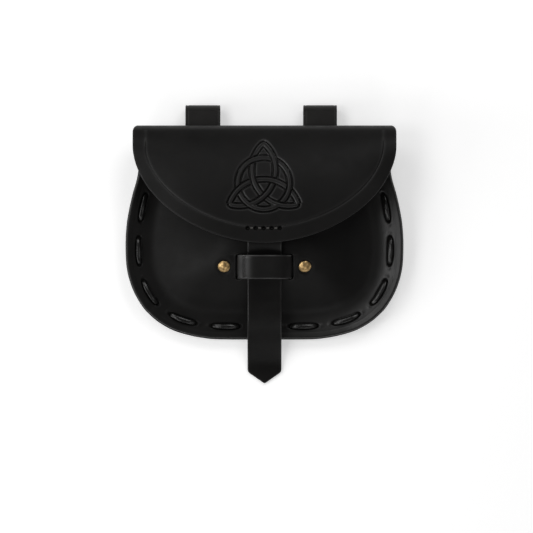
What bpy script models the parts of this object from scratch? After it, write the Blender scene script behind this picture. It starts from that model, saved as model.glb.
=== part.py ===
"""A leather belt bag with a laced front, a flap that a strap and keeper close, and two belt loops.

It lies on its back. Metres. The bag's own frame has X across, Y up the bag from its widest line and
Z out of its front, with the back's rear face at Z = 0. An empty lays that frame down on its loops.
"""
import math

import bmesh
import bpy
import numpy as np
from mathutils import Matrix, Vector
from mathutils.bvhtree import BVHTree

# Leather
LEATHER = 0.0026          # back, flap and front
STRAP_LEATHER = 0.0025    # closing strap and belt loops
KEEPER_LEATHER = 0.0020
LACE_THICKNESS = 0.0013
GAP = 0.0003              # between pieces that touch on the real bag
SMOOTH_ANGLE = 35         # degrees; a sharper bend between faces shows as an edge

# Body
BODY_WIDTH = 0.2002
WIDEST_TO_FOOT = 0.0665
WIDEST_TO_FOLD = 0.0877
FOLD_DEPTH = 0.0240       # how thick the rolled fold is, outside
EDGE_STEP = 0.0012        # the front is this much smaller than the back, all round

# Front panel
FLANGE = 0.0120           # flat, laced edge
BELLY_RISE = 0.0320       # crest of the belly above the flange
MOUTH_RISE = 0.0134       # the same at the mouth
MOUTH_BELOW_FOLD = 0.0137
SIDE_SHOULDER = 0.0580    # from the flange to the crest, at the sides
FOOT_SHOULDER = 0.0360    # the same at the foot
SHOULDER_POWER = 0.6      # below 1, the belly starts steep and ends flat
MOUTH_POWER = 1.5         # how suddenly the belly falls towards the mouth

# Flap
FLAP_WIDTH = 0.1896
FLAP_DROP = 0.0845        # from the fold's top to the flap's lowest point
FLAP_CURVE_DEPTH = 0.0688  # height of the round part of the flap's edge
FLAP_CURVE_POWER = 1.85
FLAP_TIP_DEPTH = 0.0450   # outer face of the tip, above the back's rear face
FLAP_TIP_SLOPE = 0.14
FLAP_FIRST_SLOPE = 1.29   # where it leaves the roll, over its mean slope
FLAP_SIDE_DROOP = 0.0160  # how far its sides hang lower than its middle
DROOP_POWER = 2.5
DROOP_LENGTH = 0.0400

# Closing strap and keeper
STRAP_WIDTH = 0.0245
STRAP_TUCK = 0.0190       # the stretch that is sewn under the flap
STRAP_TIP_BELOW_FOOT = 0.0317
STRAP_POINT = 0.0086
STRAP_END_FLAT = 0.0080
STRAP_LEAVE_SLOPE = 0.20  # downwards, where it leaves the keeper
STRAP_LAND_SLOPE = 0.08   # against the floor, where it lands
KEEPER_HEIGHT = 0.0174
KEEPER_WIDTH = 0.0392
KEEPER_BELOW_WIDEST = 0.0141
KEEPER_TAB = 0.0062       # leather beyond each rivet
KEEPER_TURN = 0.0007      # how closely the band turns inside its slit
SLIT_PLAY = 0.0010        # on each face of the band
SLIT_END_PLAY = 0.0006    # at each end of a slit

# Rivets
RIVET_SPREAD = 0.0582     # between the two rivets of the keeper
RIVET_CAP = 0.0081
RIVET_CAP_HEIGHT = 0.0022
RIVET_SHAFT = 0.0032
RIVET_BACK_CAP = 0.0080
RIVET_BACK_HEIGHT = 0.0010
RIVET_PLAY = 0.0003
CAP_EDGE = 0.2            # share of a domed cap's height that is its upright edge
HEAD_FLAT = 0.8           # share of a plain head's radius that is flat
LOOP_RIVET_HEAD = 0.0090
LOOP_RIVET_HEIGHT = 0.0012

# Lacing
LACE_WIDTH = 0.0042
LACE_INSET = 0.0084       # the lace's middle, inside the front panel's edge
LACE_PITCH = 0.0315
LACE_FIRST = 0.0280       # from the middle stitch to the next, along the edge
LACE_STITCH = 0.0200
STITCHES_EACH_SIDE = 6
LACE_HOLE_LENGTH = 0.0034
LACE_HOLE_PLAY = 0.0003   # on each side of the lace
LACE_LEAN = 0.2           # of half a hole's length, where the lace passes through

# Belt loops
LOOP_WIDTH = 0.0245
LOOP_LEFT_X = -0.0445
LOOP_RIGHT_X = 0.0401
LOOP_ABOVE_FOLD = 0.0144
BELT_GAP = 0.0060         # room for a belt at the middle of a loop
LOOP_MIDDLE_BELOW_FOLD = 0.0157
LOOP_RIVET_BELOW_FOLD = 0.0557
LOOP_END = 0.0080         # leather beyond the rivet
LOOP_RAMP = 0.0160        # where the outer run leaves the floor for the rivet

# The body's edge, right half: from the middle of the foot to the widest line
FOOT_EDGE = (  # (share of the half width, share of widest to foot)
    (0.000, 1.000),
    (0.320, 0.998),
    (0.440, 0.983),
    (0.550, 0.951),
    (0.661, 0.898),
    (0.762, 0.812),
    (0.831, 0.723),
    (0.881, 0.637),
    (0.946, 0.464),
    (0.989, 0.247),
    (1.000, 0.000),
)
# and from there to the fold
SIDE_EDGE = (  # (share of the half width, share of widest to fold)
    (0.993, 0.174),
    (0.975, 0.306),
    (0.949, 0.438),
    (0.917, 0.569),
    (0.903, 0.700),
    (0.904, 0.850),
    (0.925, 1.000),
)

# The keeper's band, from beside the strap down to its slit
KEEPER_BEND = (  # (share of the way to the slit, share of the lift over the strap)
    (0.00, 1.00),
    (0.25, 0.88),
    (0.84, 0.45),
    (1.00, 0.00),
)

# How fine the faces are
EDGE_SAMPLES = 12
BACK_ROWS = 20
ROLL_STEPS = 8
FLAP_STEPS = 14
ACROSS = 12
FRONT_SPANS = 44
SAMPLES_A_SPAN = 6
RING_SHARES = (0.06, 0.16, 0.30, 0.46, 0.64)  # of the foot's shoulder
POLE_SHARES = (0.94, 0.87, 0.70, 0.46, 0.22)  # of the way from the mouth's middle to the last ring
STRAP_STEPS = 8
LOOP_STEPS = 7
DOME_STEPS = 4
ROUND_SIDES = 16
KEEPER_ROWS = (-1.0, -0.5, 0.0, 0.5, 1.0)  # of half its height

# Colours
BLACK = (0.020, 0.018, 0.017)
LACE_BLACK = (0.016, 0.015, 0.014)
BRASS = (0.42, 0.29, 0.13)

FOOT_Y = -WIDEST_TO_FOOT
FOLD_Y = WIDEST_TO_FOLD
FOLD_RADIUS = FOLD_DEPTH / 2
ROLL_Y = FOLD_Y - FOLD_RADIUS
MOUTH_Y = FOLD_Y - MOUTH_BELOW_FOLD
FLAP_TIP_Y = FOLD_Y - FLAP_DROP
FLANGE_TOP = 2 * LEATHER + GAP
KEEPER_Y = -KEEPER_BELOW_WIDEST
SLIT_X = KEEPER_WIDTH / 2 - KEEPER_LEATHER / 2
LACE_BACK = -GAP - LACE_THICKNESS


def smooth_line(points, steps):
    """A Catmull-Rom curve through the points, as a list of vectors."""
    points = [Vector(point) for point in points]
    ends = [2 * points[0] - points[1]] + points + [2 * points[-1] - points[-2]]
    line = []
    for a, b, c, d in zip(ends, ends[1:], ends[2:], ends[3:]):
        for step in range(steps):
            t = step / steps
            line.append(0.5 * (2 * b + (c - a) * t + (2 * a - 5 * b + 4 * c - d) * t ** 2
                               + (3 * b - a - 3 * c + d) * t ** 3))
    return line + [points[-1]]


def hermite(start, start_slope, end, end_slope, length, share):
    """A height that leaves `start` and reaches `end` with the given slopes."""
    t2, t3 = share ** 2, share ** 3
    return ((2 * t3 - 3 * t2 + 1) * start + (t3 - 2 * t2 + share) * start_slope * length
            + (3 * t2 - 2 * t3) * end + (t3 - t2) * end_slope * length)


def smooth_step(share):
    share = min(max(share, 0.0), 1.0)
    return share * share * (3 - 2 * share)


def evenly(line, spans):
    """Points at equal steps along a line."""
    lengths = np.concatenate([[0], np.cumsum(np.linalg.norm(np.diff(line, axis=0), axis=1))])
    even = np.linspace(0, lengths[-1], spans + 1)
    return np.column_stack([np.interp(even, lengths, line[:, axis]) for axis in (0, 1)])


def body_edge(top_y, spans):
    """The right half of the back's edge, from the foot's middle up to top_y, as evenly spaced (x, y)."""
    half = BODY_WIDTH / 2
    foot = [(width * half, -drop * WIDEST_TO_FOOT) for width, drop in FOOT_EDGE]
    side = [(width * half, rise * WIDEST_TO_FOLD) for width, rise in SIDE_EDGE]
    line = np.array([tuple(point) for point in smooth_line(foot + side, EDGE_SAMPLES)])
    below = line[line[:, 1] < top_y]
    return evenly(np.vstack([below, [np.interp(top_y, line[:, 1], line[:, 0]), top_y]]), spans)


def front_edge():
    """The front panel's whole edge as finely spaced points and outward normals, left mouth to right."""
    right = body_edge(MOUTH_Y, FRONT_SPANS // 2 * SAMPLES_A_SPAN)
    points = np.vstack([right[:0:-1] * (-1, 1), right])
    along = np.gradient(points, axis=0)
    along /= np.linalg.norm(along, axis=1)[:, None]
    normals = np.column_stack([along[:, 1], -along[:, 0]])
    return points - normals * EDGE_STEP, normals


FRONT_POINTS, FRONT_NORMALS = front_edge()


def front_height(x, y):
    """The front panel's outer face at a point of the bag's plane."""
    away = np.hypot(FRONT_POINTS[:, 0] - x, FRONT_POINTS[:, 1] - y)
    nearest = int(np.argmin(away))
    across, up = FRONT_NORMALS[nearest]
    shoulder = SIDE_SHOULDER * across ** 2 + FOOT_SHOULDER * up ** 2
    share = max(away[nearest] - FLANGE, 0.0) / shoulder
    rise = smooth_step(min(share, 1.0) ** SHOULDER_POWER)
    fall = max(y, 0.0) / MOUTH_Y
    depth = BELLY_RISE - (BELLY_RISE - MOUTH_RISE) * fall ** MOUTH_POWER
    return FLANGE_TOP + depth * rise


def front_normal(x, y):
    step = LEATHER
    slope_x = (front_height(x + step, y) - front_height(x - step, y)) / (2 * step)
    slope_y = (front_height(x, y + step) - front_height(x, y - step)) / (2 * step)
    return Vector((-slope_x, -slope_y, 1)).normalized()


def face_of(front):
    """A function that gives the point of the front panel's faces over (x, y)."""
    mesh = front.data
    tree = BVHTree.FromPolygons([vertex.co for vertex in mesh.vertices],
                                [face.vertices for face in mesh.polygons])
    return lambda x, y: tree.ray_cast(Vector((x, y, 1)), Vector((0, 0, -1)))[0]


def start_slope():
    """How fast the flap rises where it leaves the roll."""
    return FLAP_FIRST_SLOPE * (FLAP_TIP_DEPTH - FOLD_DEPTH) / (ROLL_Y - FLAP_TIP_Y)


def roll_exit():
    """Where the flap leaves the roll: how far round, and that point's y and z."""
    turn = math.pi - math.atan(start_slope())
    return turn, ROLL_Y + FOLD_RADIUS * math.sin(turn), FOLD_RADIUS * (1 - math.cos(turn))


def flap_middle(y):
    """The flap's outer face on the bag's middle line."""
    _, exit_y, exit_z = roll_exit()
    length = exit_y - FLAP_TIP_Y
    return hermite(exit_z, start_slope(), FLAP_TIP_DEPTH, FLAP_TIP_SLOPE, length, (exit_y - y) / length)


def flap_half_width(y):
    turn_y = FLAP_TIP_Y + FLAP_CURVE_DEPTH
    below = min(max(turn_y - y, 0.0) / FLAP_CURVE_DEPTH, 1.0)
    return FLAP_WIDTH / 2 * (1 - below ** FLAP_CURVE_POWER) ** (1 / FLAP_CURVE_POWER)


def flap_height(x, y):
    _, exit_y, _ = roll_exit()
    droop = FLAP_SIDE_DROOP * smooth_step((exit_y - y) / DROOP_LENGTH)
    return flap_middle(y) - droop * (abs(x) / (FLAP_WIDTH / 2)) ** DROOP_POWER


def loop_tilt():
    """The bag leans on its lacing at the foot and on its belt loops near the fold."""
    stack = GAP + 2 * STRAP_LEATHER + BELT_GAP
    middle_y = FOLD_Y - LOOP_MIDDLE_BELOW_FOLD
    return math.atan((stack + LACE_BACK) / (middle_y - rest_y()))


def rest_y():
    """The lowest line of the lacing's back, which meets the floor."""
    return FOOT_Y + EDGE_STEP + LACE_INSET - LACE_WIDTH / 2


def floor_height(y):
    """The floor as the leaning bag's frame sees it."""
    return LACE_BACK - (y - rest_y()) * math.tan(loop_tilt())


def leather(name, tone, roughness):
    material = bpy.data.materials.new(name)
    material.use_nodes = True
    shader = material.node_tree.nodes["Principled BSDF"]
    shader.inputs["Base Color"].default_value = (*tone, 1)
    shader.inputs["Roughness"].default_value = roughness
    material.diffuse_color = (*tone, 1)
    return material


def brass(name):
    material = leather(name, BRASS, 0.35)
    material.node_tree.nodes["Principled BSDF"].inputs["Metallic"].default_value = 1.0
    return material


def new_object(name, bm, finish):
    mesh = bpy.data.meshes.new(name)
    bm.to_mesh(mesh)
    bm.free()
    piece = bpy.data.objects.new(name, mesh)
    bpy.context.scene.collection.objects.link(piece)
    if finish:
        mesh.materials.append(finish)
        mesh.shade_smooth()
        mesh.set_sharp_from_angle(angle=math.radians(SMOOTH_ANGLE))
    return piece


def sheet(name, rows, thickness, finish, offset=-1.0):
    """A leather wall over rows of points; a row of one point closes the sheet to a tip."""
    bm = bmesh.new()
    lines = [[bm.verts.new(point) for point in row] for row in rows]
    for low, high in zip(lines, lines[1:]):
        for i in range(len(low) - 1):
            corners = [low[i], low[i + 1]]
            corners += [high[0]] if len(high) == 1 else [high[i + 1], high[i]]
            bm.faces.new(corners)
    bmesh.ops.triangulate(bm, faces=bm.faces)
    piece = new_object(name, bm, finish)
    wall = piece.modifiers.new("wall", "SOLIDIFY")
    wall.thickness = thickness
    wall.offset = offset
    wall.use_even_offset = True
    return piece


def cutter(name, blocks):
    """Boxes, each with its size and its matrix, as one hidden cutting object."""
    bm = bmesh.new()
    for size, place in blocks:
        bmesh.ops.create_cube(bm, size=1, matrix=place @ Matrix.Diagonal((*size, 1)))
    return hidden(new_object(name, bm, None))


def drill(name, radius, places):
    """Round cutters, each along its matrix's Z."""
    bm = bmesh.new()
    for place in places:
        bmesh.ops.create_cone(bm, cap_ends=True, segments=ROUND_SIDES, radius1=radius, radius2=radius,
                              depth=FOLD_DEPTH, matrix=place)
    return hidden(new_object(name, bm, None))


def hidden(guide):
    guide.hide_render = True
    guide.display_type = "WIRE"
    return guide


def cut(piece, *cutters):
    for tool in cutters:
        hole = piece.modifiers.new(tool.name, "BOOLEAN")
        hole.operation = "DIFFERENCE"
        hole.object = tool


def turned(name, profile, place, finish):
    """A closed profile of (radius, height), from its low end on the axis to its high end, spun round Z."""
    bm = bmesh.new()
    line = [bm.verts.new((radius, 0, height)) for radius, height in profile]
    edges = [bm.edges.new(pair) for pair in zip(line, line[1:])]
    bmesh.ops.spin(bm, geom=line + edges, axis=(0, 0, 1), cent=(0, 0, 0), angle=2 * math.pi,
                   steps=ROUND_SIDES)
    bmesh.ops.remove_doubles(bm, verts=bm.verts, dist=1e-6)
    bmesh.ops.recalc_face_normals(bm, faces=bm.faces)
    piece = new_object(name, bm, finish)
    piece.matrix_world = place
    return piece


def standing_on(point, normal):
    """A matrix whose Z is the normal."""
    return Matrix.Translation(point) @ normal.to_track_quat("Z", "Y").to_matrix().to_4x4()


def across_row(y, z, half, columns):
    """A row from right to left at one height up the bag; z may be a number or a function of (x, y)."""
    xs = [half * (1 - 2 * column / columns) for column in range(columns + 1)]
    return [(x, y, z(x, y) if callable(z) else z) for x in xs]


def back_and_flap(finish):
    """One piece of leather: the back, the rolled fold and the flap."""
    edge = body_edge(ROLL_Y, BACK_ROWS)
    foot_half = FOOT_EDGE[1][0] * BODY_WIDTH / 2
    rows = [across_row(FOOT_Y, 0.0, foot_half, ACROSS)]
    rows += [across_row(y, 0.0, x, ACROSS) for x, y in edge if x > foot_half + LEATHER]
    turn, exit_y, _ = roll_exit()
    fold_half = edge[-1][0]
    for step in range(1, ROLL_STEPS + 1):
        angle = turn * step / ROLL_STEPS
        half = fold_half + (FLAP_WIDTH / 2 - fold_half) * smooth_step((angle / turn) ** 2)
        rows.append(across_row(ROLL_Y + FOLD_RADIUS * math.sin(angle),
                               FOLD_RADIUS * (1 - math.cos(angle)), half, ACROSS))
    for step in range(1, FLAP_STEPS + 1):
        # Rows crowd towards the tip, where the edge turns across
        share = math.sin(math.pi / 2 * step / FLAP_STEPS)
        y = exit_y + (FLAP_TIP_Y - exit_y) * share
        half = flap_half_width(y)
        if step == FLAP_STEPS:
            half = STRAP_WIDTH / 2
        rows.append(across_row(y, flap_height, half, ACROSS))
    return sheet("back_and_flap", rows, LEATHER, finish)


def front_rings():
    """Rings of the front panel from its edge towards the middle of the mouth."""
    points, normals = FRONT_POINTS[::SAMPLES_A_SPAN], FRONT_NORMALS[::SAMPLES_A_SPAN]
    pole = np.array((0.0, MOUTH_Y))
    insets = [0.0, FLANGE] + [FLANGE + FOOT_SHOULDER * share for share in RING_SHARES]
    rings = []
    for inset in insets:
        ring = points - normals * inset
        ring[0, 1] = ring[-1, 1] = MOUTH_Y
        rings.append(ring)
    rings += [pole + (rings[-1] - pole) * share for share in POLE_SHARES]
    return rings + [pole[None, :]]


def front_panel(finish):
    """The wet-moulded front: a flat laced flange round a belly that is open at the mouth."""
    rows = [[(x, y, front_height(x, y)) for x, y in ring] for ring in front_rings()]
    return sheet("front_panel", rows, LEATHER, finish)


def lace_line():
    """The lacing's middle line, as points, unit normals and the length from the foot's middle."""
    points = FRONT_POINTS - FRONT_NORMALS * LACE_INSET
    lengths = np.concatenate([[0], np.cumsum(np.linalg.norm(np.diff(points, axis=0), axis=1))])
    return points, FRONT_NORMALS, lengths - lengths[int(np.argmin(np.abs(points[:, 0])))]


def on_lace_line(length):
    """The point, and the direction across the lace, at a length along its line."""
    points, normals, lengths = lace_line()
    point = [np.interp(length, lengths, points[:, axis]) for axis in (0, 1)]
    across = [np.interp(length, lengths, normals[:, axis]) for axis in (0, 1)]
    return Vector((*point, 0)), Vector((*across, 0)).normalized()


def stitch_centres():
    out = [LACE_FIRST + LACE_PITCH * i for i in range(STITCHES_EACH_SIDE)]
    return [-length for length in reversed(out)] + [0.0] + out


def lace_holes():
    """A slot at both ends of each stitch, through the front and the back."""
    blocks = []
    past_both_walls = 4 * FLANGE_TOP
    size = (LACE_WIDTH + 2 * LACE_HOLE_PLAY, LACE_HOLE_LENGTH, past_both_walls)
    for centre in stitch_centres():
        for side in (-1, 1):
            point, across = on_lace_line(centre + side * LACE_STITCH / 2)
            turn = Matrix.Rotation(math.atan2(across.y, across.x), 4, "Z")
            blocks.append((size, Matrix.Translation(point) @ turn))
    return cutter("lace_holes", blocks)


def lacing(finish):
    """One flat lace in a running stitch, on the front over each stitch and behind the back between."""
    front = FLANGE_TOP + GAP + LACE_THICKNESS / 2
    back = LACE_BACK + LACE_THICKNESS / 2
    bend = LACE_HOLE_LENGTH / 2
    lean = bend * LACE_LEAN
    path = []
    for centre in stitch_centres():
        start, end = centre - LACE_STITCH / 2, centre + LACE_STITCH / 2
        path += [(start - bend, back), (start - lean, back + bend / 2),
                 (start + lean, front - bend / 2), (start + bend, front),
                 (centre, front),
                 (end - bend, front), (end - lean, front - bend / 2),
                 (end + lean, back + bend / 2), (end + bend, back)]
    rows = []
    for length, height in path:
        point, across = on_lace_line(length)
        lift = Vector((0, 0, height))
        side = across * LACE_WIDTH / 2
        rows.append([point + side + lift, point - side + lift])
    return sheet("lacing", rows, LACE_THICKNESS, finish, offset=0.0)


def strap_line(face):
    """The closing strap's middle line as (y, z): under the flap, under the keeper, down to the floor."""
    half = STRAP_LEATHER / 2
    line = []
    for share in (1.0, 0.5, 0.0):
        y = FLAP_TIP_Y + STRAP_TUCK * share
        line.append((y, flap_middle(y) - LEATHER - GAP - half))
    for share in KEEPER_ROWS:
        y = KEEPER_Y - share * KEEPER_HEIGHT / 2
        highest = max(face(x, y).z for x in (-STRAP_WIDTH / 2, 0, STRAP_WIDTH / 2))
        line.append((y, highest + GAP + half))
    leave_y, leave_z = line[-1]
    tip_y = FOOT_Y - STRAP_TIP_BELOW_FOOT
    land_y = tip_y + STRAP_END_FLAT
    land_slope = math.tan(loop_tilt()) - STRAP_LAND_SLOPE
    length = leave_y - land_y
    land_z = floor_height(land_y) + half
    for step in range(1, STRAP_STEPS + 1):
        share = step / STRAP_STEPS
        line.append((leave_y - share * length,
                     hermite(leave_z, -STRAP_LEAVE_SLOPE, land_z, land_slope, length, share)))
    line.append((tip_y, floor_height(tip_y) + half / math.cos(loop_tilt())))
    return line


def closure_strap(face, finish):
    line = strap_line(face)
    tip_y, tip_z = line[-1]
    point_y = tip_y + STRAP_POINT
    heights = sorted(line)
    ys = [y for y, _ in heights]
    zs = [z for _, z in heights]
    rows = [across_row(y, z, STRAP_WIDTH / 2, 2) for y, z in line if y > point_y + STRAP_POINT / 4]
    rows.append(across_row(point_y, float(np.interp(point_y, ys, zs)), STRAP_WIDTH / 2, 2))
    rows.append([(0, tip_y, tip_z)])
    return sheet("closure_strap", rows, STRAP_LEATHER, finish, offset=0.0)


def keeper_path():
    """Across the keeper, right half: (x, lift of its middle above the front panel)."""
    inside = -(LEATHER + GAP + KEEPER_LEATHER / 2)
    over = 2 * GAP + STRAP_LEATHER + KEEPER_LEATHER / 2
    strap_edge = STRAP_WIDTH / 2
    path = [(0.0, over), (strap_edge / 2, over)]
    path += [(strap_edge + along * (SLIT_X - strap_edge), lift * over) for along, lift in KEEPER_BEND]
    path += [
        (SLIT_X, inside + KEEPER_TURN),
        (SLIT_X + KEEPER_TURN, inside),
        ((SLIT_X + RIVET_SPREAD / 2) / 2, inside),
        (RIVET_SPREAD / 2 + KEEPER_TAB, inside),
    ]
    return path


def keeper_loop(face, finish):
    """The band that holds the strap, through two slits of the front, its ends riveted inside."""
    half = keeper_path()
    whole = [(-x, lift) for x, lift in reversed(half[1:])] + half
    rows = []
    for share in KEEPER_ROWS:
        y = KEEPER_Y + share * KEEPER_HEIGHT / 2
        rows.append([face(x, y) + front_normal(x, y) * lift for x, lift in whole])
    return sheet("keeper_loop", rows, KEEPER_LEATHER, finish, offset=0.0)


def keeper_slits():
    size = (KEEPER_LEATHER + 2 * SLIT_PLAY, KEEPER_HEIGHT + 2 * SLIT_END_PLAY, FOLD_DEPTH)
    middle = front_height(SLIT_X, KEEPER_Y)
    places = [Matrix.Translation((side * SLIT_X, KEEPER_Y, middle)) for side in (-1, 1)]
    return cutter("keeper_slits", [(size, place) for place in places])


def rivet_places(face):
    sides = {"left": -RIVET_SPREAD / 2, "right": RIVET_SPREAD / 2}
    return {side: standing_on(face(x, KEEPER_Y), front_normal(x, KEEPER_Y)) for side, x in sides.items()}


def front_rivet(name, place, finish):
    """A domed cap outside, a shaft through front and keeper, and a flat cap inside."""
    cap, shaft, back = RIVET_CAP / 2, RIVET_SHAFT / 2, RIVET_BACK_CAP / 2
    inner = -(LEATHER + KEEPER_LEATHER + 3 * GAP)
    low = inner - RIVET_BACK_HEIGHT
    profile = [(0, low), (back * HEAD_FLAT, low), (back, inner), (shaft, inner), (shaft, GAP), (cap, GAP)]
    for step in range(DOME_STEPS):
        angle = math.pi / 2 * step / DOME_STEPS
        height = RIVET_CAP_HEIGHT * (CAP_EDGE + (1 - CAP_EDGE) * math.sin(angle))
        profile.append((cap * math.cos(angle), GAP + height))
    profile.append((0, GAP + RIVET_CAP_HEIGHT))
    return turned(name, profile, place, finish)


def loop_rivet(name, x, finish):
    """A plain rivet with a head inside the bag and one behind both runs of a belt loop."""
    head, shaft = LOOP_RIVET_HEAD / 2, RIVET_SHAFT / 2
    low = -(2 * STRAP_LEATHER + 3 * GAP)
    high = LEATHER + GAP
    bottom, top = low - LOOP_RIVET_HEIGHT, high + LOOP_RIVET_HEIGHT
    profile = [(0, bottom), (head * HEAD_FLAT, bottom), (head, low), (shaft, low),
               (shaft, high), (head, high), (head * HEAD_FLAT, top), (0, top)]
    place = Matrix.Translation((x, FOLD_Y - LOOP_RIVET_BELOW_FOLD, 0))
    return turned(name, profile, place, finish)


def loop_line():
    """A belt loop's middle line as (y, z): up the back, over above the fold and down along the floor."""
    half = STRAP_LEATHER / 2
    inner = -GAP - half
    rivet_y = FOLD_Y - LOOP_RIVET_BELOW_FOLD
    end_y = rivet_y - LOOP_END
    top_y = FOLD_Y + LOOP_ABOVE_FOLD - half
    floor_lift = half / math.cos(loop_tilt())
    radius = (inner - floor_height(top_y) - floor_lift) / 2
    turn_y = top_y - radius
    line = [(end_y, inner), (rivet_y, inner), ((rivet_y + turn_y) / 2, inner), (turn_y, inner)]
    for step in range(1, LOOP_STEPS):
        angle = math.pi * step / LOOP_STEPS
        line.append((turn_y + radius * math.sin(angle), inner - radius * (1 - math.cos(angle))))
    ramp_y = rivet_y + LOOP_END + LOOP_RAMP
    seat = inner - GAP - STRAP_LEATHER
    for y in (turn_y, ramp_y):
        line.append((y, floor_height(y) + floor_lift))
    line.append((rivet_y + LOOP_END, seat))
    line.append((end_y, seat))
    return line


def belt_loop(name, x, finish):
    rows = [across_row(y, z, LOOP_WIDTH / 2, 1) for y, z in loop_line()]
    rows = [[(x + px, y, z) for px, y, z in row] for row in rows]
    return sheet(name, rows, STRAP_LEATHER, finish, offset=0.0)


def lay_down(pieces):
    """Lean the bag on the floor, with the middle of its outline over the origin."""
    tilt = loop_tilt()
    lean = Matrix.Rotation(tilt, 4, "X")
    tip_y = FOOT_Y - STRAP_TIP_BELOW_FOOT
    tip = lean @ Vector((0, tip_y, floor_height(tip_y)))
    top = lean @ Vector((0, *max(loop_line())))
    top.y += STRAP_LEATHER / 2
    rest = bpy.data.objects.new("lying_on_its_back", None)
    bpy.context.scene.collection.objects.link(rest)
    rest.rotation_euler.x = tilt
    rest.location = (0, -(tip.y + top.y) / 2, -(lean @ Vector((0, rest_y(), LACE_BACK))).z)
    for piece in pieces:
        piece.parent = rest


def build():
    for old in list(bpy.data.objects):
        bpy.data.objects.remove(old, do_unlink=True)
    body_leather = leather("black_leather", BLACK, 0.48)
    strap_leather = leather("black_strap_leather", BLACK, 0.42)
    lace_leather = leather("black_lace", LACE_BLACK, 0.40)
    metal = brass("antique_brass")

    back = back_and_flap(body_leather)
    front = front_panel(body_leather)
    holes = lace_holes()
    slits = keeper_slits()
    face = face_of(front)
    places = rivet_places(face)
    rivet_hole = RIVET_SHAFT / 2 + RIVET_PLAY
    rivet_drill = drill("rivet_drill", rivet_hole, places.values())
    keeper = keeper_loop(face, strap_leather)
    loops = {"left": LOOP_LEFT_X, "right": LOOP_RIGHT_X}
    loop_y = FOLD_Y - LOOP_RIVET_BELOW_FOLD
    loop_drill = drill("loop_drill", rivet_hole,
                       [Matrix.Translation((x, loop_y, 0)) for x in loops.values()])
    cut(back, holes, loop_drill)
    cut(front, holes, slits, rivet_drill)
    cut(keeper, rivet_drill)
    pieces = [back, front, keeper, holes, slits, rivet_drill, loop_drill]
    pieces.append(lacing(lace_leather))
    pieces.append(closure_strap(face, strap_leather))
    for side, place in places.items():
        pieces.append(front_rivet(f"rivet_{side}", place, metal))
    for side, x in loops.items():
        loop = belt_loop(f"belt_loop_{side}", x, strap_leather)
        cut(loop, loop_drill)
        pieces.append(loop)
        pieces.append(loop_rivet(f"loop_rivet_{side}", x, metal))
    lay_down(pieces)


build()
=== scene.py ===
import math

import bmesh
import bpy
import numpy as np
from mathutils import Matrix, Vector
from mathutils.bvhtree import BVHTree
from mathutils.geometry import delaunay_2d_cdt
from mathutils.kdtree import KDTree


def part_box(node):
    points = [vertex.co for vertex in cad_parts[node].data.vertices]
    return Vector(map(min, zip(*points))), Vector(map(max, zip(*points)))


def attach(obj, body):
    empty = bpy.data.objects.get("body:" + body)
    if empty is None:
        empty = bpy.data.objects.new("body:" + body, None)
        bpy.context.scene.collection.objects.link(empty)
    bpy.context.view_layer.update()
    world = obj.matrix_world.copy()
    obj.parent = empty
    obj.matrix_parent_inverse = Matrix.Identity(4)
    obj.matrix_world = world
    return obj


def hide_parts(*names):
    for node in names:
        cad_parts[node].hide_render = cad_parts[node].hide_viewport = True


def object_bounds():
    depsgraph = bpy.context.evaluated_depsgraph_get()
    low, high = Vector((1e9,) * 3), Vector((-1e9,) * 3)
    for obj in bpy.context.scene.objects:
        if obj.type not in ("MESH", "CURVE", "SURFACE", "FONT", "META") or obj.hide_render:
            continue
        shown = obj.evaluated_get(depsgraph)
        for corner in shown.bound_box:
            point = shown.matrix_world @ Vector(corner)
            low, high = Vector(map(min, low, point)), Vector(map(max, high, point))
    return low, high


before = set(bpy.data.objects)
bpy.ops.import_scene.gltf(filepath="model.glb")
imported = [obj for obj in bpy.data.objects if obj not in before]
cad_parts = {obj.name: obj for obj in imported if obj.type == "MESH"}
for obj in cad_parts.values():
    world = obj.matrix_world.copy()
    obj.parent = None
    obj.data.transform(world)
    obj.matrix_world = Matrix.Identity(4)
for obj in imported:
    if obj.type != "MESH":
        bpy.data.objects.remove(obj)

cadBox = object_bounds()
print("frame loaded")

# Metres. The bag has a frame of its own: X across, Y up from its widest line, Z out of its front,
# with the back's rear face at Z 0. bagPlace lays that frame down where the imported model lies.
bag = {
    "halfWidth": 0.1001,
    "widestToFoot": 0.0665,
    "widestToFold": 0.0877,
    "foldDepth": 0.0240,
    "mouthBelowFold": 0.0137,
    "leather": 0.0026,
    "gap": 0.0003,
    "frontStep": 0.0012,      # the front is this much smaller than the back
    # how far the laced rim bends forwards, front and back alike, and where round the edge that changes
    "leftFlare": 0.0056, "rightFlare": 0.0062, "footFlare": 0.0028,
    "leftTurn": (0.55, 0.95), "rightTurn": (0, 0.67),
    "flareWidth": 0.0210, "flarePower": 1.5, "flareMost": 1.2, "flareEnd": 0.0120,
    "edgeStep": 0.0009,
    "probe": 0.040,           # where the back's tilt is felt, on both sides of the middle
    # the outline's right half: share of the half width, share of the way to foot or fold
    "footEdge": ((0, 1), (.320, .998), (.440, .983), (.550, .951), (.661, .898), (.762, .812),
                 (.831, .723), (.881, .637), (.946, .464), (.989, .247), (1, 0)),
    "sideEdge": ((.993, .174), (.975, .306), (.949, .438), (.917, .569), (.903, .700),
                 (.904, .850), (.925, 1)),
}
footY = -bag["widestToFoot"]
foldRadius = bag["foldDepth"] / 2
rollY = bag["widestToFold"] - foldRadius
mouthY = bag["widestToFold"] - bag["mouthBelowFold"]
flangeTop = 2 * bag["leather"] + bag["gap"]


def treeOf(node):
    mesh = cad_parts[node].data
    return BVHTree.FromPolygons([v.co for v in mesh.vertices], [p.vertices for p in mesh.polygons])


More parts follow.
